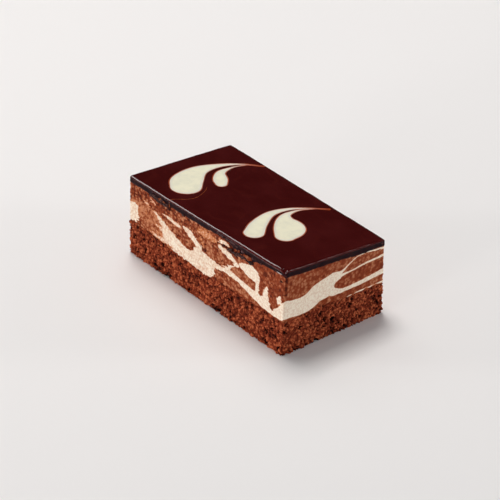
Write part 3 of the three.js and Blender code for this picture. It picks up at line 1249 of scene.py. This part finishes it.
LEFT_STREAKS = lay(
    Side.LEFT,
    (
        Marble.CREAM, 0.3, (27, 18.8, 2.6), (14, 19.6, 2.9), (2, 20.8, 3.3), (-12, 20.4, 3.9),
        (-27, 19.6, 4.2),
    ),
    (Marble.CREAM, 0.2, (27, 24.4, 0.6), (16, 25.8, 0.6), (6, 28, 0.4), (-6, 29.4, 0.3)),
    (Marble.MILK, 0.3, (13, 20.6, 0.5), (5, 20.8, 1.5), (-5, 20.2, 1.7), (-11, 20.2, 0.8)),
    (Marble.CREAM, 0.2, (12, 15.4, 0.4), (2, 15.2, 0.6), (-10, 15.6, 0.4)),
)


@dataclass(frozen=True)
class MarbledMousse:
    """The mousse, cream and milk chocolate marbled, torn on the long sides and smooth on the short."""

    plan: SlicePlan
    cell: float = 0.26
    rows: int = 74
    recess: float = 0.25
    lap: float = 0.5
    tuck: float = 0.25
    highest: float = 0.3
    lump_rise: float = 0.45
    bubble_depth: float = 0.6
    swell: float = 0.25
    cream_smoothing: float = 0.5
    cream_rise: float = 0.15
    bow: float = 0.15
    knife_marks: float = 0.05
    pinhole_depth: float = 0.25
    lumps: Bubbles = Bubbles(1.2, (0.35, 0.8), 0.8, 131)
    bubbles: Bubbles = Bubbles(1.5, (0.15, 0.6), 0.6, 121)
    pinholes: Bubbles = Bubbles(1.3, (0.1, 0.3), 0.3, 126)
    streaks: tuple[Streak, ...] = FRONT_STREAKS + RIGHT_STREAKS + BACK_STREAKS + LEFT_STREAKS

    def marble(self, around: np.ndarray, points: np.ndarray) -> tuple[np.ndarray, np.ndarray]:
        """Lay the streaks over milk chocolate, each over those before it.

        Args:
            around: How far round the sides each point is.
            points: The points.

        Returns:
            How much cream and how dark a chocolate each point has.
        """
        torn = self.plan.rough(around)
        flat = np.column_stack([around, points[:, 2]])
        for axis, seed, reach in ((0, 71, 2.2), (1, 91, 0.75)):
            drift = Grain.fractal(points, 4.0, seed)
            fray = Grain.fractal(points, (1.6, 1.6, 0.7), seed + 10)
            flat[:, axis] += (0.2 + 0.15 * torn) * drift + (0.1 + reach * torn) * fray
        cream = np.zeros(len(points))
        tone = 0.7 + 0.3 * Grain.fractal(points, 9.0, 101)
        for streak in self.streaks:
            knots = tuple((streak.side.around(self.plan, x), z, r) for x, z, r in streak.run)
            outside, _, _ = Ribbon(knots, 0.4).nearest(flat, self.plan.perimeter)
            cover = 1 - ease(outside, -streak.soft, streak.soft)
            held_cream, held_tone = streak.stuff.value
            cream += (held_cream - cream) * cover
            tone += (held_tone - tone) * cover
        return cream, tone

    def build(self, finish: bpy.types.Material) -> bpy.types.Object:
        """Make the mousse.

        Args:
            finish: The mousse's material.

        Returns:
            The mousse.
        """
        mesh = as_mesh(WallGrid(self.plan, self.cell, self.rows).build(), "mousse_marble")
        corners = Corners(mesh, self.plan)
        shelf = self.plan.line_height(self.plan.sponge_line, corners.around) - self.lap
        foot = self.plan.line_height(self.plan.glaze_line, corners.around) + self.lap
        heights = shelf + (foot - shelf) * corners.level
        points = corners.points(heights)
        cream, tone = self.marble(corners.around, points)
        torn = self.plan.rough(corners.around)
        lumps = self.lumps.depth(points)
        bubbles = self.bubbles.depth(points)
        coarse = self.lump_rise * lumps - self.bubble_depth * bubbles
        coarse = coarse + self.swell * Grain.fractal(points, (2.4, 2.4, 1.4), 111)
        marks = Grain.smooth(points, (0.6, 0.6, 12.0), 141) + Grain.smooth(points, (1.9, 1.9, 20.0), 151)
        pinholes = self.pinholes.depth(points)
        clean = self.knife_marks * marks - self.pinhole_depth * pinholes
        smoothed = 1 - self.cream_smoothing * ease(cream, 0.3, 0.8)
        relief = torn * coarse * smoothed + (1 - torn) * clean
        relief += torn * self.cream_rise * (cream - 0.5) + self.bow * Grain.fractal(points, 9.0, 161)
        tuck = self.tuck * ease(heights - shelf, 1.0, 0.0)
        out = np.minimum(relief, self.highest) - self.recess - tuck
        corners.write(np.where(corners.inset == 0, out, 0.0), heights)
        paint(mesh, "cream", cream)
        paint(mesh, "tone", tone + 0.07 + 0.05 * torn + (1 - torn) * 0.16 * marks)
        paint(mesh, "rough", 0.15 + 0.85 * torn)
        # Painted shade in the hollows of the torn sides and in the pinholes of the clean sides.
        pinned = (1 - torn) * ease(pinholes, 0.03, 0.15)
        paint(mesh, "hollow_shade", torn * ease(coarse, 0.15, -0.4) + pinned)
        self.plan.settle(mesh)
        mousse = place(mesh, finish)
        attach(mousse, "root")
        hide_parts("marbled_mousse")
        return mousse


# ---- The glaze and its swirls -------------------------------------------------------------------


@dataclass(frozen=True)
class WhiteSwirl:
    """Two white chocolate drops that were drawn out into one tail while the glaze was wet."""

    name: str
    node: str
    drops: tuple[Ribbon, Ribbon]
    cell: float = 0.25
    rim: float = 0.5
    thickness: float = 1.1

    def distance(self, places: np.ndarray) -> tuple[np.ndarray, np.ndarray, np.ndarray]:
        """Measure how far places are outside the nearer drop.

        Args:
            places: Rows of x and y.

        Returns:
            The distance, the way outward and how far each place is from the tip of the tail.
        """
        first, second = (drop.nearest(places) for drop in self.drops)
        nearer = first[0] <= second[0]
        root = np.hypot(*(np.subtract(self.drops[1].knots[0], self.drops[0].knots[0])[:2]))
        return (
            np.where(nearer, first[0], second[0]),
            np.where(nearer[:, None], first[1], second[1]),
            np.where(nearer, first[2], second[2] + root),
        )

    def outline(self) -> bmesh.types.BMesh:
        """Cut a flat sheet of small cells to the swirl's outline.

        Returns:
            The sheet.
        """
        knots = np.array([knot for drop in self.drops for knot in drop.knots])
        margin = knots[:, 2:] + 2 * self.cell + self.rim
        low, high = (knots[:, :2] - margin).min(axis=0), (knots[:, :2] + margin).max(axis=0)
        cells = np.ceil((high - low) / self.cell).astype(int)
        bm = bmesh.new()
        middle = Matrix.Translation((*((low + high) / 2), 0.0))
        size = Matrix.Diagonal((*(high - low), 1.0, 1.0))
        bmesh.ops.create_grid(
            bm, x_segments=int(cells[0]), y_segments=int(cells[1]), size=0.5, matrix=middle @ size
        )
        outside, outward, _ = self.distance(np.array([vert.co[:2] for vert in bm.verts]))
        keep = outside < self.rim
        gone = [face for face in bm.faces if not any(keep[vert.index] for vert in face.verts)]
        for vert in bm.verts:
            if not keep[vert.index]:
                step = outward[vert.index] * (self.rim - outside[vert.index])
                vert.co.xy += Vector(step)
        bmesh.ops.delete(bm, geom=gone, context="FACES")
        return bm

    def solid(self, plan: SlicePlan, above: float, below: float) -> bmesh.types.BMesh:
        """Raise the outline to a block that follows the glaze's top.

        Args:
            plan: The plan of the piece.
            above: How far the block stands over the glaze's top.
            below: How far it reaches under it.

        Returns:
            The block, in millimetres.
        """
        bm = self.outline()
        heights = plan.top_height(np.array([vert.co[:2] for vert in bm.verts]))
        for vert, height in zip(bm.verts, heights):
            vert.co.z = height + above
        made = bmesh.ops.extrude_face_region(bm, geom=bm.faces[:])["geom"]
        sunk = [item for item in made if isinstance(item, bmesh.types.BMVert)]
        bmesh.ops.translate(bm, vec=(0.0, 0.0, -above - below), verts=sunk)
        bmesh.ops.recalc_face_normals(bm, faces=bm.faces)
        return bm

    def build(self, plan: SlicePlan, finish: bpy.types.Material) -> bpy.types.Object:
        """Make the swirl.

        Args:
            plan: The plan of the piece.
            finish: The white chocolate's material.

        Returns:
            The swirl.
        """
        mesh = as_mesh(self.solid(plan, 0.0, self.thickness), self.name)
        mesh.set_sharp_from_angle(angle=math.radians(40))
        outside, _, along = self.distance(read_corners(mesh)[:, :2].astype(float))
        mesh.transform(Matrix.Scale(MM, 4))
        paint(mesh, "edge", outside)
        paint(mesh, "tail", along)
        plan.settle(mesh)
        swirl = place(mesh, finish)
        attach(swirl, "root")
        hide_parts(self.node)
        return swirl


# The drops' rows are the rounded result of a least-squares fit to the photo.
SWIRLS = (
    WhiteSwirl(
        "white_swirl_left",
        "swirl_left",
        (
            Ribbon(
                (
                    (-24.8, 23.6, 0.3), (-31.0, 17.3, 0.5), (-35.1, 9.0, 1.4),
                    (-35.9, -0.4, 3.7), (-31.9, -8.7, 6.3), (-27.5, -12.7, 6.2),
                )
            ),
            Ribbon(
                (
                    (-29.6, 18.5, 0.3), (-30.8, 12.6, 0.4), (-29.7, 6.1, 1.7),
                    (-25.3, 2.4, 2.9), (-21.8, 0.2, 2.3),
                )
            ),
        ),
    ),
    WhiteSwirl(
        "white_swirl_right",
        "swirl_right",
        (
            Ribbon(
                (
                    (17.7, 22.2, 0.3), (12.4, 15.2, 0.4), (9.0, 8.1, 0.9),
                    (8.6, -0.1, 1.9), (12.7, -8.8, 3.3), (17.3, -14.8, 4.0),
                )
            ),
            Ribbon(
                (
                    (14.3, 17.7, 0.3), (12.0, 11.2, 0.4), (12.5, 5.3, 1.5),
                    (16.0, 1.7, 3.5), (21.8, -0.9, 6.1), (25.7, -6.4, 4.0),
                )
            ),
        ),
    ),
)


@dataclass(frozen=True)
class MirrorGlaze:
    """The dark glaze: a mirror top with a soft rim, and a ragged foot that the knife dragged down."""

    plan: SlicePlan
    cell: float = 0.35
    rows: int = 14
    rim_radius: float = 1.0
    rim_rings: tuple[float, ...] = (0.06, 0.2, 0.4, 0.65, 1.0, 1.3)
    rim_widening: float = 0.6
    widening_span: tuple[float, float] = (45.0, 80.0)
    front_end: float = 97.0
    usual_thickness: float = 2.6
    grid_step: float = 3.0
    bead_at: float = 92.6
    bead_reach: float = 2.8
    bead_height: float = 0.22
    notch_at: float = 96.0
    notch_reach: float = 1.6
    notch_depth: float = 0.8
    notch_wave: float = 0.25
    tatter: float = 0.35
    drip: float = 0.9
    ledge: float = 0.35
    wave: float = 0.16
    ripple: float = 0.05
    tuck: float = 0.12
    recess: float = 0.1
    mirror_from: float = 0.15

    def build(
        self, mirror: bpy.types.Material, cut: bpy.types.Material, swirls: Sequence[WhiteSwirl]
    ) -> bpy.types.Object:
        """Make the glaze, with a pocket for each swirl.

        Args:
            mirror: The material of the top.
            cut: The material of the side.
            swirls: The swirls that lie in it.

        Returns:
            The glaze.
        """
        rim = tuple(self.rim_radius * share for share in self.rim_rings)
        bm = WallGrid(self.plan, self.cell, self.rows, upper_insets=rim).build()
        self._rule_top(bm)
        mesh = as_mesh(bm, "mirror_glaze")
        corners = Corners(mesh, self.plan)
        top = self.plan.top_height(corners.places)
        usual = top - self.usual_thickness
        foot = self.plan.line_height(self.plan.glaze_line, corners.around)
        dragged = ease(usual - foot, 0.2, 1.4)
        base = corners.points(foot + (usual - foot) * corners.level)
        wider = ease(corners.around, *self.widening_span) * (corners.around < self.front_end)
        drop = self.rim_radius * (1 + self.rim_widening * wider)
        shoulder = top - drop
        left = np.clip(1 - corners.inset / self.rim_radius, 0.0, 1.0)
        crown = shoulder + drop * np.sqrt(1 - left**2)
        bead = ease(np.abs(corners.around - self.bead_at), self.bead_reach, 0.5)
        notch = ease(np.abs(corners.around - self.notch_at), self.notch_reach, 0.2)
        swell = np.sin(math.pi * np.clip(corners.inset / rim[-1], 0.0, 1.0))
        crown += (self.bead_height * bead - self.notch_depth * notch) * swell
        tatters = Grain.fractal(base, (1.5, 1.5, 8.0), 201)
        drips = ease(Grain.fractal(base, (2.6, 2.6, 20.0), 211), 0.1, 0.8)
        ragged = foot - 0.15 + self.tatter * tatters - self.drip * dragged * drips + 0.35 * dragged
        on_top = (corners.level > 0.5) & (corners.inset > 0)
        under = (corners.level < 0.5) & (corners.inset > 0)
        heights = ragged + (shoulder - ragged) * corners.level
        heights = np.where(on_top, crown, np.where(under, usual - 0.3, heights))
        lumps = 0.15 * Grain.fractal(base, 3.0, 221) + 0.45 * dragged * Grain.fractal(base, 1.2, 231)
        ledge = self.ledge * bead * ease(np.abs(corners.level - 0.55), 0.25, 0.0)
        plan_points = corners.points(0.0 * heights)
        wave = self.wave * Grain.fractal(plan_points, 6.0, 241)
        wave += self.ripple * Grain.smooth(plan_points, 1.3, 246)
        wave -= self.notch_wave * notch
        inward = 1 - ease(corners.inset, 0.3, self.rim_radius)
        wave *= np.where(on_top, inward, ease(corners.level, 0.3, 1.0))
        tuck = self.tuck * ease(corners.level, 0.2, 0.0)
        wall = corners.inset == 0
        body = np.sin(math.pi * corners.level)
        side = np.minimum(lumps, 0.15) * body + ledge - tuck - self.recess
        corners.write(np.where(wall, side, 0.0) + np.where(wall | on_top, wave, 0.0), heights)
        glaze = place(mesh, mirror)
        mesh.materials.append(cut)
        self._cut_pockets(glaze, swirls)
        glaze.data.set_sharp_from_angle(angle=math.radians(50))
        self.plan.settle(glaze.data)
        for face in glaze.data.polygons:
            face.material_index = int(face.normal.z < self.mirror_from)
        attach(glaze, "root")
        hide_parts("chocolate_glaze")
        return glaze

    def _rule_top(self, bm: bmesh.types.BMesh) -> None:
        """Cut the face that closes the top into a grid, so that it can follow the top's slope.

        Args:
            bm: The closed wall.
        """
        inset = bm.verts.layers.float["inset"]
        for axis, half in enumerate(self.plan.half):
            normal = [float(axis == i) for i in range(3)]
            for place_along in np.arange(-half + self.grid_step, half - 1, self.grid_step):
                top = [f for f in bm.faces if f.normal.z > 0.9 and all(v.co.z == 1.0 for v in f.verts)]
                large = [f for f in top if f.calc_area() > self.grid_step or len(f.verts) > 4]
                around = {item for face in large for item in (*face.verts, *face.edges)}
                origin = [place_along * value for value in normal]
                bmesh.ops.bisect_plane(bm, geom=[*large, *around], plane_co=origin, plane_no=normal)
        for vert in bm.verts:
            if vert.co.z == 1.0 and vert[inset] == 0 and not vert.is_boundary:
                if min(self.plan.half[i] - abs(vert.co[i]) for i in (0, 1)) > 1.4 * self.rim_radius:
                    vert[inset] = 2 * self.rim_radius

    def _cut_pockets(self, glaze: bpy.types.Object, swirls: Sequence[WhiteSwirl]) -> None:
        """Cut a pocket for each swirl into the glaze.

        Args:
            glaze: The glaze.
            swirls: The swirls.
        """
        for swirl in swirls:
            mesh = as_mesh(swirl.solid(self.plan, 1.0, swirl.thickness), "pocket")
            mesh.transform(Matrix.Scale(MM, 4))
            cutter = bpy.data.objects.new("pocket", mesh)
            bpy.context.scene.collection.objects.link(cutter)
            cut = glaze.modifiers.new("pocket", "BOOLEAN")
            cut.object = cutter
            cut.operation = "DIFFERENCE"
            cut.solver = "EXACT"
            evaluated = glaze.evaluated_get(bpy.context.evaluated_depsgraph_get())
            made = bpy.data.meshes.new_from_object(evaluated)
            glaze.modifiers.clear()
            old = glaze.data
            glaze.data = made
            bpy.data.meshes.remove(old)
            bpy.data.objects.remove(cutter)
            bpy.data.meshes.remove(mesh)
            made.name = glaze.name


@dataclass(frozen=True)
class ScrapCluster:
    """A patch of scraps: its side, its middle along that side and in height, its reach and count."""

    side: Side
    place: float
    height: float
    reach: tuple[float, float]
    count: int


@dataclass(frozen=True)
class GlazeScraps:
    """Scraps that the knife dragged off the glaze's lower edge, or off the mousse onto the glaze."""

    plan: SlicePlan
    name: str = "glaze_scraps"
    slot: str = "dark_glaze"
    clusters: tuple[ScrapCluster, ...] = (
        ScrapCluster(Side.FRONT, -28.0, 32.6, (6.0, 0.9), 40),
        ScrapCluster(Side.FRONT, -13.5, 33.2, (1.6, 0.3), 5),
        ScrapCluster(Side.FRONT, 15.5, 30.9, (4.0, 0.5), 16),
        ScrapCluster(Side.FRONT, 24.5, 31.5, (5.0, 0.8), 40),
        ScrapCluster(Side.FRONT, 34.0, 33.6, (0.3, 0.2), 3),
        ScrapCluster(Side.FRONT, 46.0, 31.6, (0.5, 0.4), 3),
        ScrapCluster(Side.BACK, 38.0, 29.8, (6.0, 0.8), 24),
        ScrapCluster(Side.BACK, -10.0, 28.8, (5.0, 0.9), 20),
    )
    radii: tuple[float, float] = (0.25, 0.75)
    depths: tuple[float, float] = (-0.1, 0.15)
    dents: float = 0.16
    seed: int = 17

    def build(self, finish: bpy.types.Material) -> bpy.types.Object:
        """Make the scraps as one mesh.

        Args:
            finish: The material of the scraps.

        Returns:
            The scraps.
        """
        draw = np.random.default_rng(self.seed)
        bm = bmesh.new()
        for cluster in self.clusters:
            for _ in range(cluster.count):
                radius = self.radii[0] + (self.radii[1] - self.radii[0]) * draw.random() ** 2
                run, rise = draw.uniform(-1.0, 1.0, 2) * cluster.reach
                around = cluster.side.around(self.plan, cluster.place + run)
                depth = draw.uniform(*self.depths)
                spot = Matrix.Translation((*self.plan.wall_place(around, depth), cluster.height + rise))
                tilt = Matrix.Rotation(draw.uniform(-0.6, 0.6), 4, "Y")
                lengths = radius * draw.uniform((1.1, 0.6, 0.5), (2.4, 0.9, 0.9))
                stretch = Matrix.Diagonal((*lengths, 1.0))
                bmesh.ops.create_icosphere(bm, subdivisions=2, radius=1.0, matrix=spot @ tilt @ stretch)
        mesh = as_mesh(bm, self.name)
        points = Grain.nudge(read_corners(mesh).astype(float), 0.5, self.dents, 251)
        write_corners(mesh, points)
        paint(mesh, "tone", 0.8 + 0.5 * Grain.smooth(points, 0.8, 256))
        self.plan.settle(mesh)
        scraps = place(mesh, finish)
        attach(scraps, "root")
        return scraps


MOUSSE_SCRAPS = (
    ScrapCluster(Side.FRONT, 19.0, 32.7, (2.5, 0.4), 9),
    ScrapCluster(Side.FRONT, 25.0, 32.6, (3.0, 0.4), 12),
    ScrapCluster(Side.FRONT, -28.0, 33.2, (3.0, 0.3), 6),
)


@dataclass(frozen=True)
class CaramelTrail:
    """A hair of caramel drawn out of the left swirl, over the rim and down the front.

    Its run is a row of knots with an x, a y that goes on down the side past the rim, and half a
    width.
    """

    plan: SlicePlan
    run: Knots = (
        (-22.6, -6.2, 0.05), (-20.6, -8.6, 0.1), (-18.8, -12.0, 0.12), (-17.8, -15.3, 0.14),
        (-18.2, -17.8, 0.17), (-19.2, -19.9, 0.19), (-20.6, -21.8, 0.2), (-21.6, -23.6, 0.2),
        (-21.8, -25.2, 0.24), (-21.7, -26.6, 0.3), (-21.6, -28.2, 0.22),
    )
    rim_radius: float = 1.0
    flatness: float = 0.35
    segments: int = 8

    def on_skin(self, x: float, y: float) -> tuple[Vector, Vector]:
        """Find a place on the glaze's skin.

        Args:
            x: The x of the place.
            y: The y of the place, going on down the side past the rim.

        Returns:
            The place and the way out of the skin.
        """
        rim_start = self.rim_radius - float(self.plan.half[1])
        past = rim_start - y
        turn = min(max(past / self.rim_radius, 0.0), math.pi / 2)
        down = max(past - self.rim_radius * math.pi / 2, 0.0)
        level = max(y, rim_start)
        top = float(self.plan.top_height(np.array([[x, level]]))[0])
        out = Vector((0.0, -math.sin(turn), math.cos(turn)))
        core = Vector((x, level, top - self.rim_radius - down))
        return core + self.rim_radius * out, out

    def build(self, finish: bpy.types.Material) -> bpy.types.Object:
        """Make the trail.

        Args:
            finish: The caramel's material.

        Returns:
            The trail.
        """
        steps = Ribbon(self.run, 0.3).circles()
        skin = [self.on_skin(x, y) for x, y, _, _ in steps]
        bm = bmesh.new()
        last = None
        for index, (spot, out) in enumerate(skin):
            ahead = skin[min(index + 1, len(skin) - 1)][0] - skin[max(index - 1, 0)][0]
            ahead.normalize()
            across = out.cross(ahead).normalized()
            rise = ahead.cross(across)
            frame_here = Matrix((across, rise, ahead)).transposed().to_4x4()
            size = Matrix.Diagonal((1.0, self.flatness, 1.0, 1.0))
            ring = bmesh.ops.create_circle(
                bm, cap_ends=index in (0, len(skin) - 1), segments=self.segments,
                radius=steps[index][2], matrix=Matrix.Translation(spot) @ frame_here @ size,
            )["verts"]
            edges = list({edge for vert in ring for edge in vert.link_edges})
            if last is not None:
                bmesh.ops.bridge_loops(bm, edges=last + edges)
            last = edges
        bmesh.ops.recalc_face_normals(bm, faces=bm.faces)
        mesh = as_mesh(bm, "caramel_trail")
        mesh.transform(Matrix.Scale(MM, 4))
        self.plan.settle(mesh)
        trail = place(mesh, finish)
        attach(trail, "root")
        return trail


# ---- The studio ---------------------------------------------------------------------------------


@dataclass(frozen=True)
class SoftBox:
    """A square soft light that faces the piece."""

    name: str
    azimuth: float
    elevation: float
    distance: float
    side: float
    power: float
    lit: bool = True
    mirrored: bool = True

    def hang(self) -> None:
        """Put the light in the scene."""
        lamp = bpy.data.lights.new(self.name, "AREA")
        lamp.size = self.side
        lamp.energy = self.power
        light = bpy.data.objects.new(self.name, lamp)
        way = compass(self.azimuth, self.elevation)
        light.location = way * self.distance
        light.rotation_mode = "QUATERNION"
        light.rotation_quaternion = way.to_track_quat("Z", "Y")
        light.visible_diffuse = self.lit
        light.visible_glossy = self.mirrored
        bpy.context.scene.collection.objects.link(light)


def compass(azimuth: float, elevation: float) -> Vector:
    """Give the direction of a view of the piece.

    Args:
        azimuth: 0 looks along +Y and 90 along -X, in degrees.
        elevation: The angle above the horizon, in degrees.

    Returns:
        The direction from the piece to the viewer.
    """
    turn, rise = math.radians(azimuth), math.radians(elevation)
    level = math.cos(rise)
    return Vector((math.sin(turn) * level, -math.cos(turn) * level, math.sin(rise)))


@dataclass(frozen=True)
class PhotoCamera:
    """The camera, fitted to the seven corners of the piece that the photograph shows."""

    azimuth: float = 50.796
    elevation: float = 30.535
    distance: float = 854.259
    roll: float = 1.096
    right: float = 1.812
    up: float = 2.932
    aim_height: float = 18.0
    focal_pixels: float = 2200.0
    frame_pixels: float = 500.0
    sensor: float = 36.0

    def mount(self) -> None:
        """Put the camera in the scene."""
        back = compass(self.azimuth, self.elevation)
        level_right = Vector((0.0, 0.0, 1.0)).cross(back).normalized()
        level_up = back.cross(level_right)
        turn = math.radians(self.roll)
        right = math.cos(turn) * level_right + math.sin(turn) * level_up
        up = math.cos(turn) * level_up - math.sin(turn) * level_right
        aim = Vector((0.0, 0.0, self.aim_height))
        location = aim + back * self.distance - right * self.right - up * self.up
        data = bpy.data.cameras.new("photo_camera")
        data.sensor_width = self.sensor
        data.lens = self.focal_pixels * self.sensor / self.frame_pixels
        data.clip_start = 10 * MM
        data.clip_end = 20.0
        camera = bpy.data.objects.new("photo_camera", data)
        turned = Matrix((right, up, back)).transposed().to_4x4()
        camera.matrix_world = Matrix.Translation(location * MM) @ turned
        bpy.context.scene.collection.objects.link(camera)
        bpy.context.scene.camera = camera


@dataclass(frozen=True)
class Studio:
    """A plain pale floor under plain soft light."""

    floor_colour: Colour = srgb(242, 235, 231)
    floor_side: float = 3.0
    sky: Colour = (0.84, 0.98, 1.07)
    sky_strength: float = 0.235
    mirrored_sky: float = 0.01
    boxes: tuple[SoftBox, ...] = (
        SoftBox("high_left_light", -96.0, 73.0, 1.4, 0.47, 8.9, mirrored=False),
        SoftBox("back_left_light", -129.0, 58.0, 1.4, 0.47, 3.2, mirrored=False),
        SoftBox("low_left_light", -100.0, 45.0, 1.4, 0.47, 1.5, mirrored=False),
        SoftBox("left_card", -40.0, 7.0, 0.9, 0.2, 2.8, mirrored=False),
        SoftBox("front_card", 10.0, 7.0, 0.9, 0.2, 2.5, mirrored=False),
        SoftBox("right_card", 140.0, 7.0, 0.9, 0.2, 3.2, mirrored=False),
        SoftBox("left_rim_light", -75.0, 47.0, 0.9, 0.5, 5.2, lit=False),
        SoftBox("back_rim_light", 147.0, 49.0, 0.9, 0.2, 0.55, lit=False),
    )

    def build(self) -> None:
        """Lay the floor, hang the lights and light the air."""
        bm = bmesh.new()
        bmesh.ops.create_grid(bm, x_segments=1, y_segments=1, size=self.floor_side / 2)
        mesh = as_mesh(bm, "floor")
        material, bench, shader = new_finish("pale_floor", 0.9, 0.1)
        bench.feed(shader.inputs["Base Color"], self.floor_colour)
        place(mesh, material)
        for box in self.boxes:
            box.hang()
        world = bpy.data.worlds.new("soft_air")
        world.use_nodes = True
        bench = Bench(world.node_tree)
        ray = bench.add("LightPath").outputs["Is Glossy Ray"]
        dim = self.mirrored_sky - self.sky_strength
        air = world.node_tree.nodes["Background"]
        bench.feed(air.inputs["Color"], self.sky)
        bench.feed(air.inputs["Strength"], bench.math("MULTIPLY_ADD", ray, dim, self.sky_strength))
        bpy.context.scene.world = world
        bpy.context.scene.view_settings.view_transform = "Standard"


def main() -> None:
    """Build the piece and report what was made."""
    logging.basicConfig(level=logging.INFO, format="%(name)s: %(message)s")
    PhotoCamera().mount()
    Studio().build()
    plan = SlicePlan.from_frame()
    kitchen = Kitchen.open()
    white = WhiteChocolateFinish().make(kitchen)
    crumb = SpongeFinish().make(kitchen)
    marbled = MousseFinish().make(kitchen)
    pieces = [
        SpongeBase(plan).build(crumb),
        ClingingCrumbs(plan).build(crumb),
        MarbledMousse(plan).build(marbled),
        MirrorGlaze(plan).build(GlazeFinish().make(kitchen), GlazeCutFinish().make(kitchen), SWIRLS),
        GlazeScraps(plan).build(SCRAP_FINISH.make(kitchen)),
        GlazeScraps(plan, "mousse_scraps", "marbled_mousse", MOUSSE_SCRAPS, seed=19).build(marbled),
        CaramelTrail(plan).build(CaramelFinish().make(kitchen)),
        *(swirl.build(plan, white) for swirl in SWIRLS),
    ]
    for piece in pieces:
        piece.data.calc_loop_triangles()
        log.info("%s: %d triangles", piece.name, len(piece.data.loop_triangles))


if __name__ == "__main__":
    main()
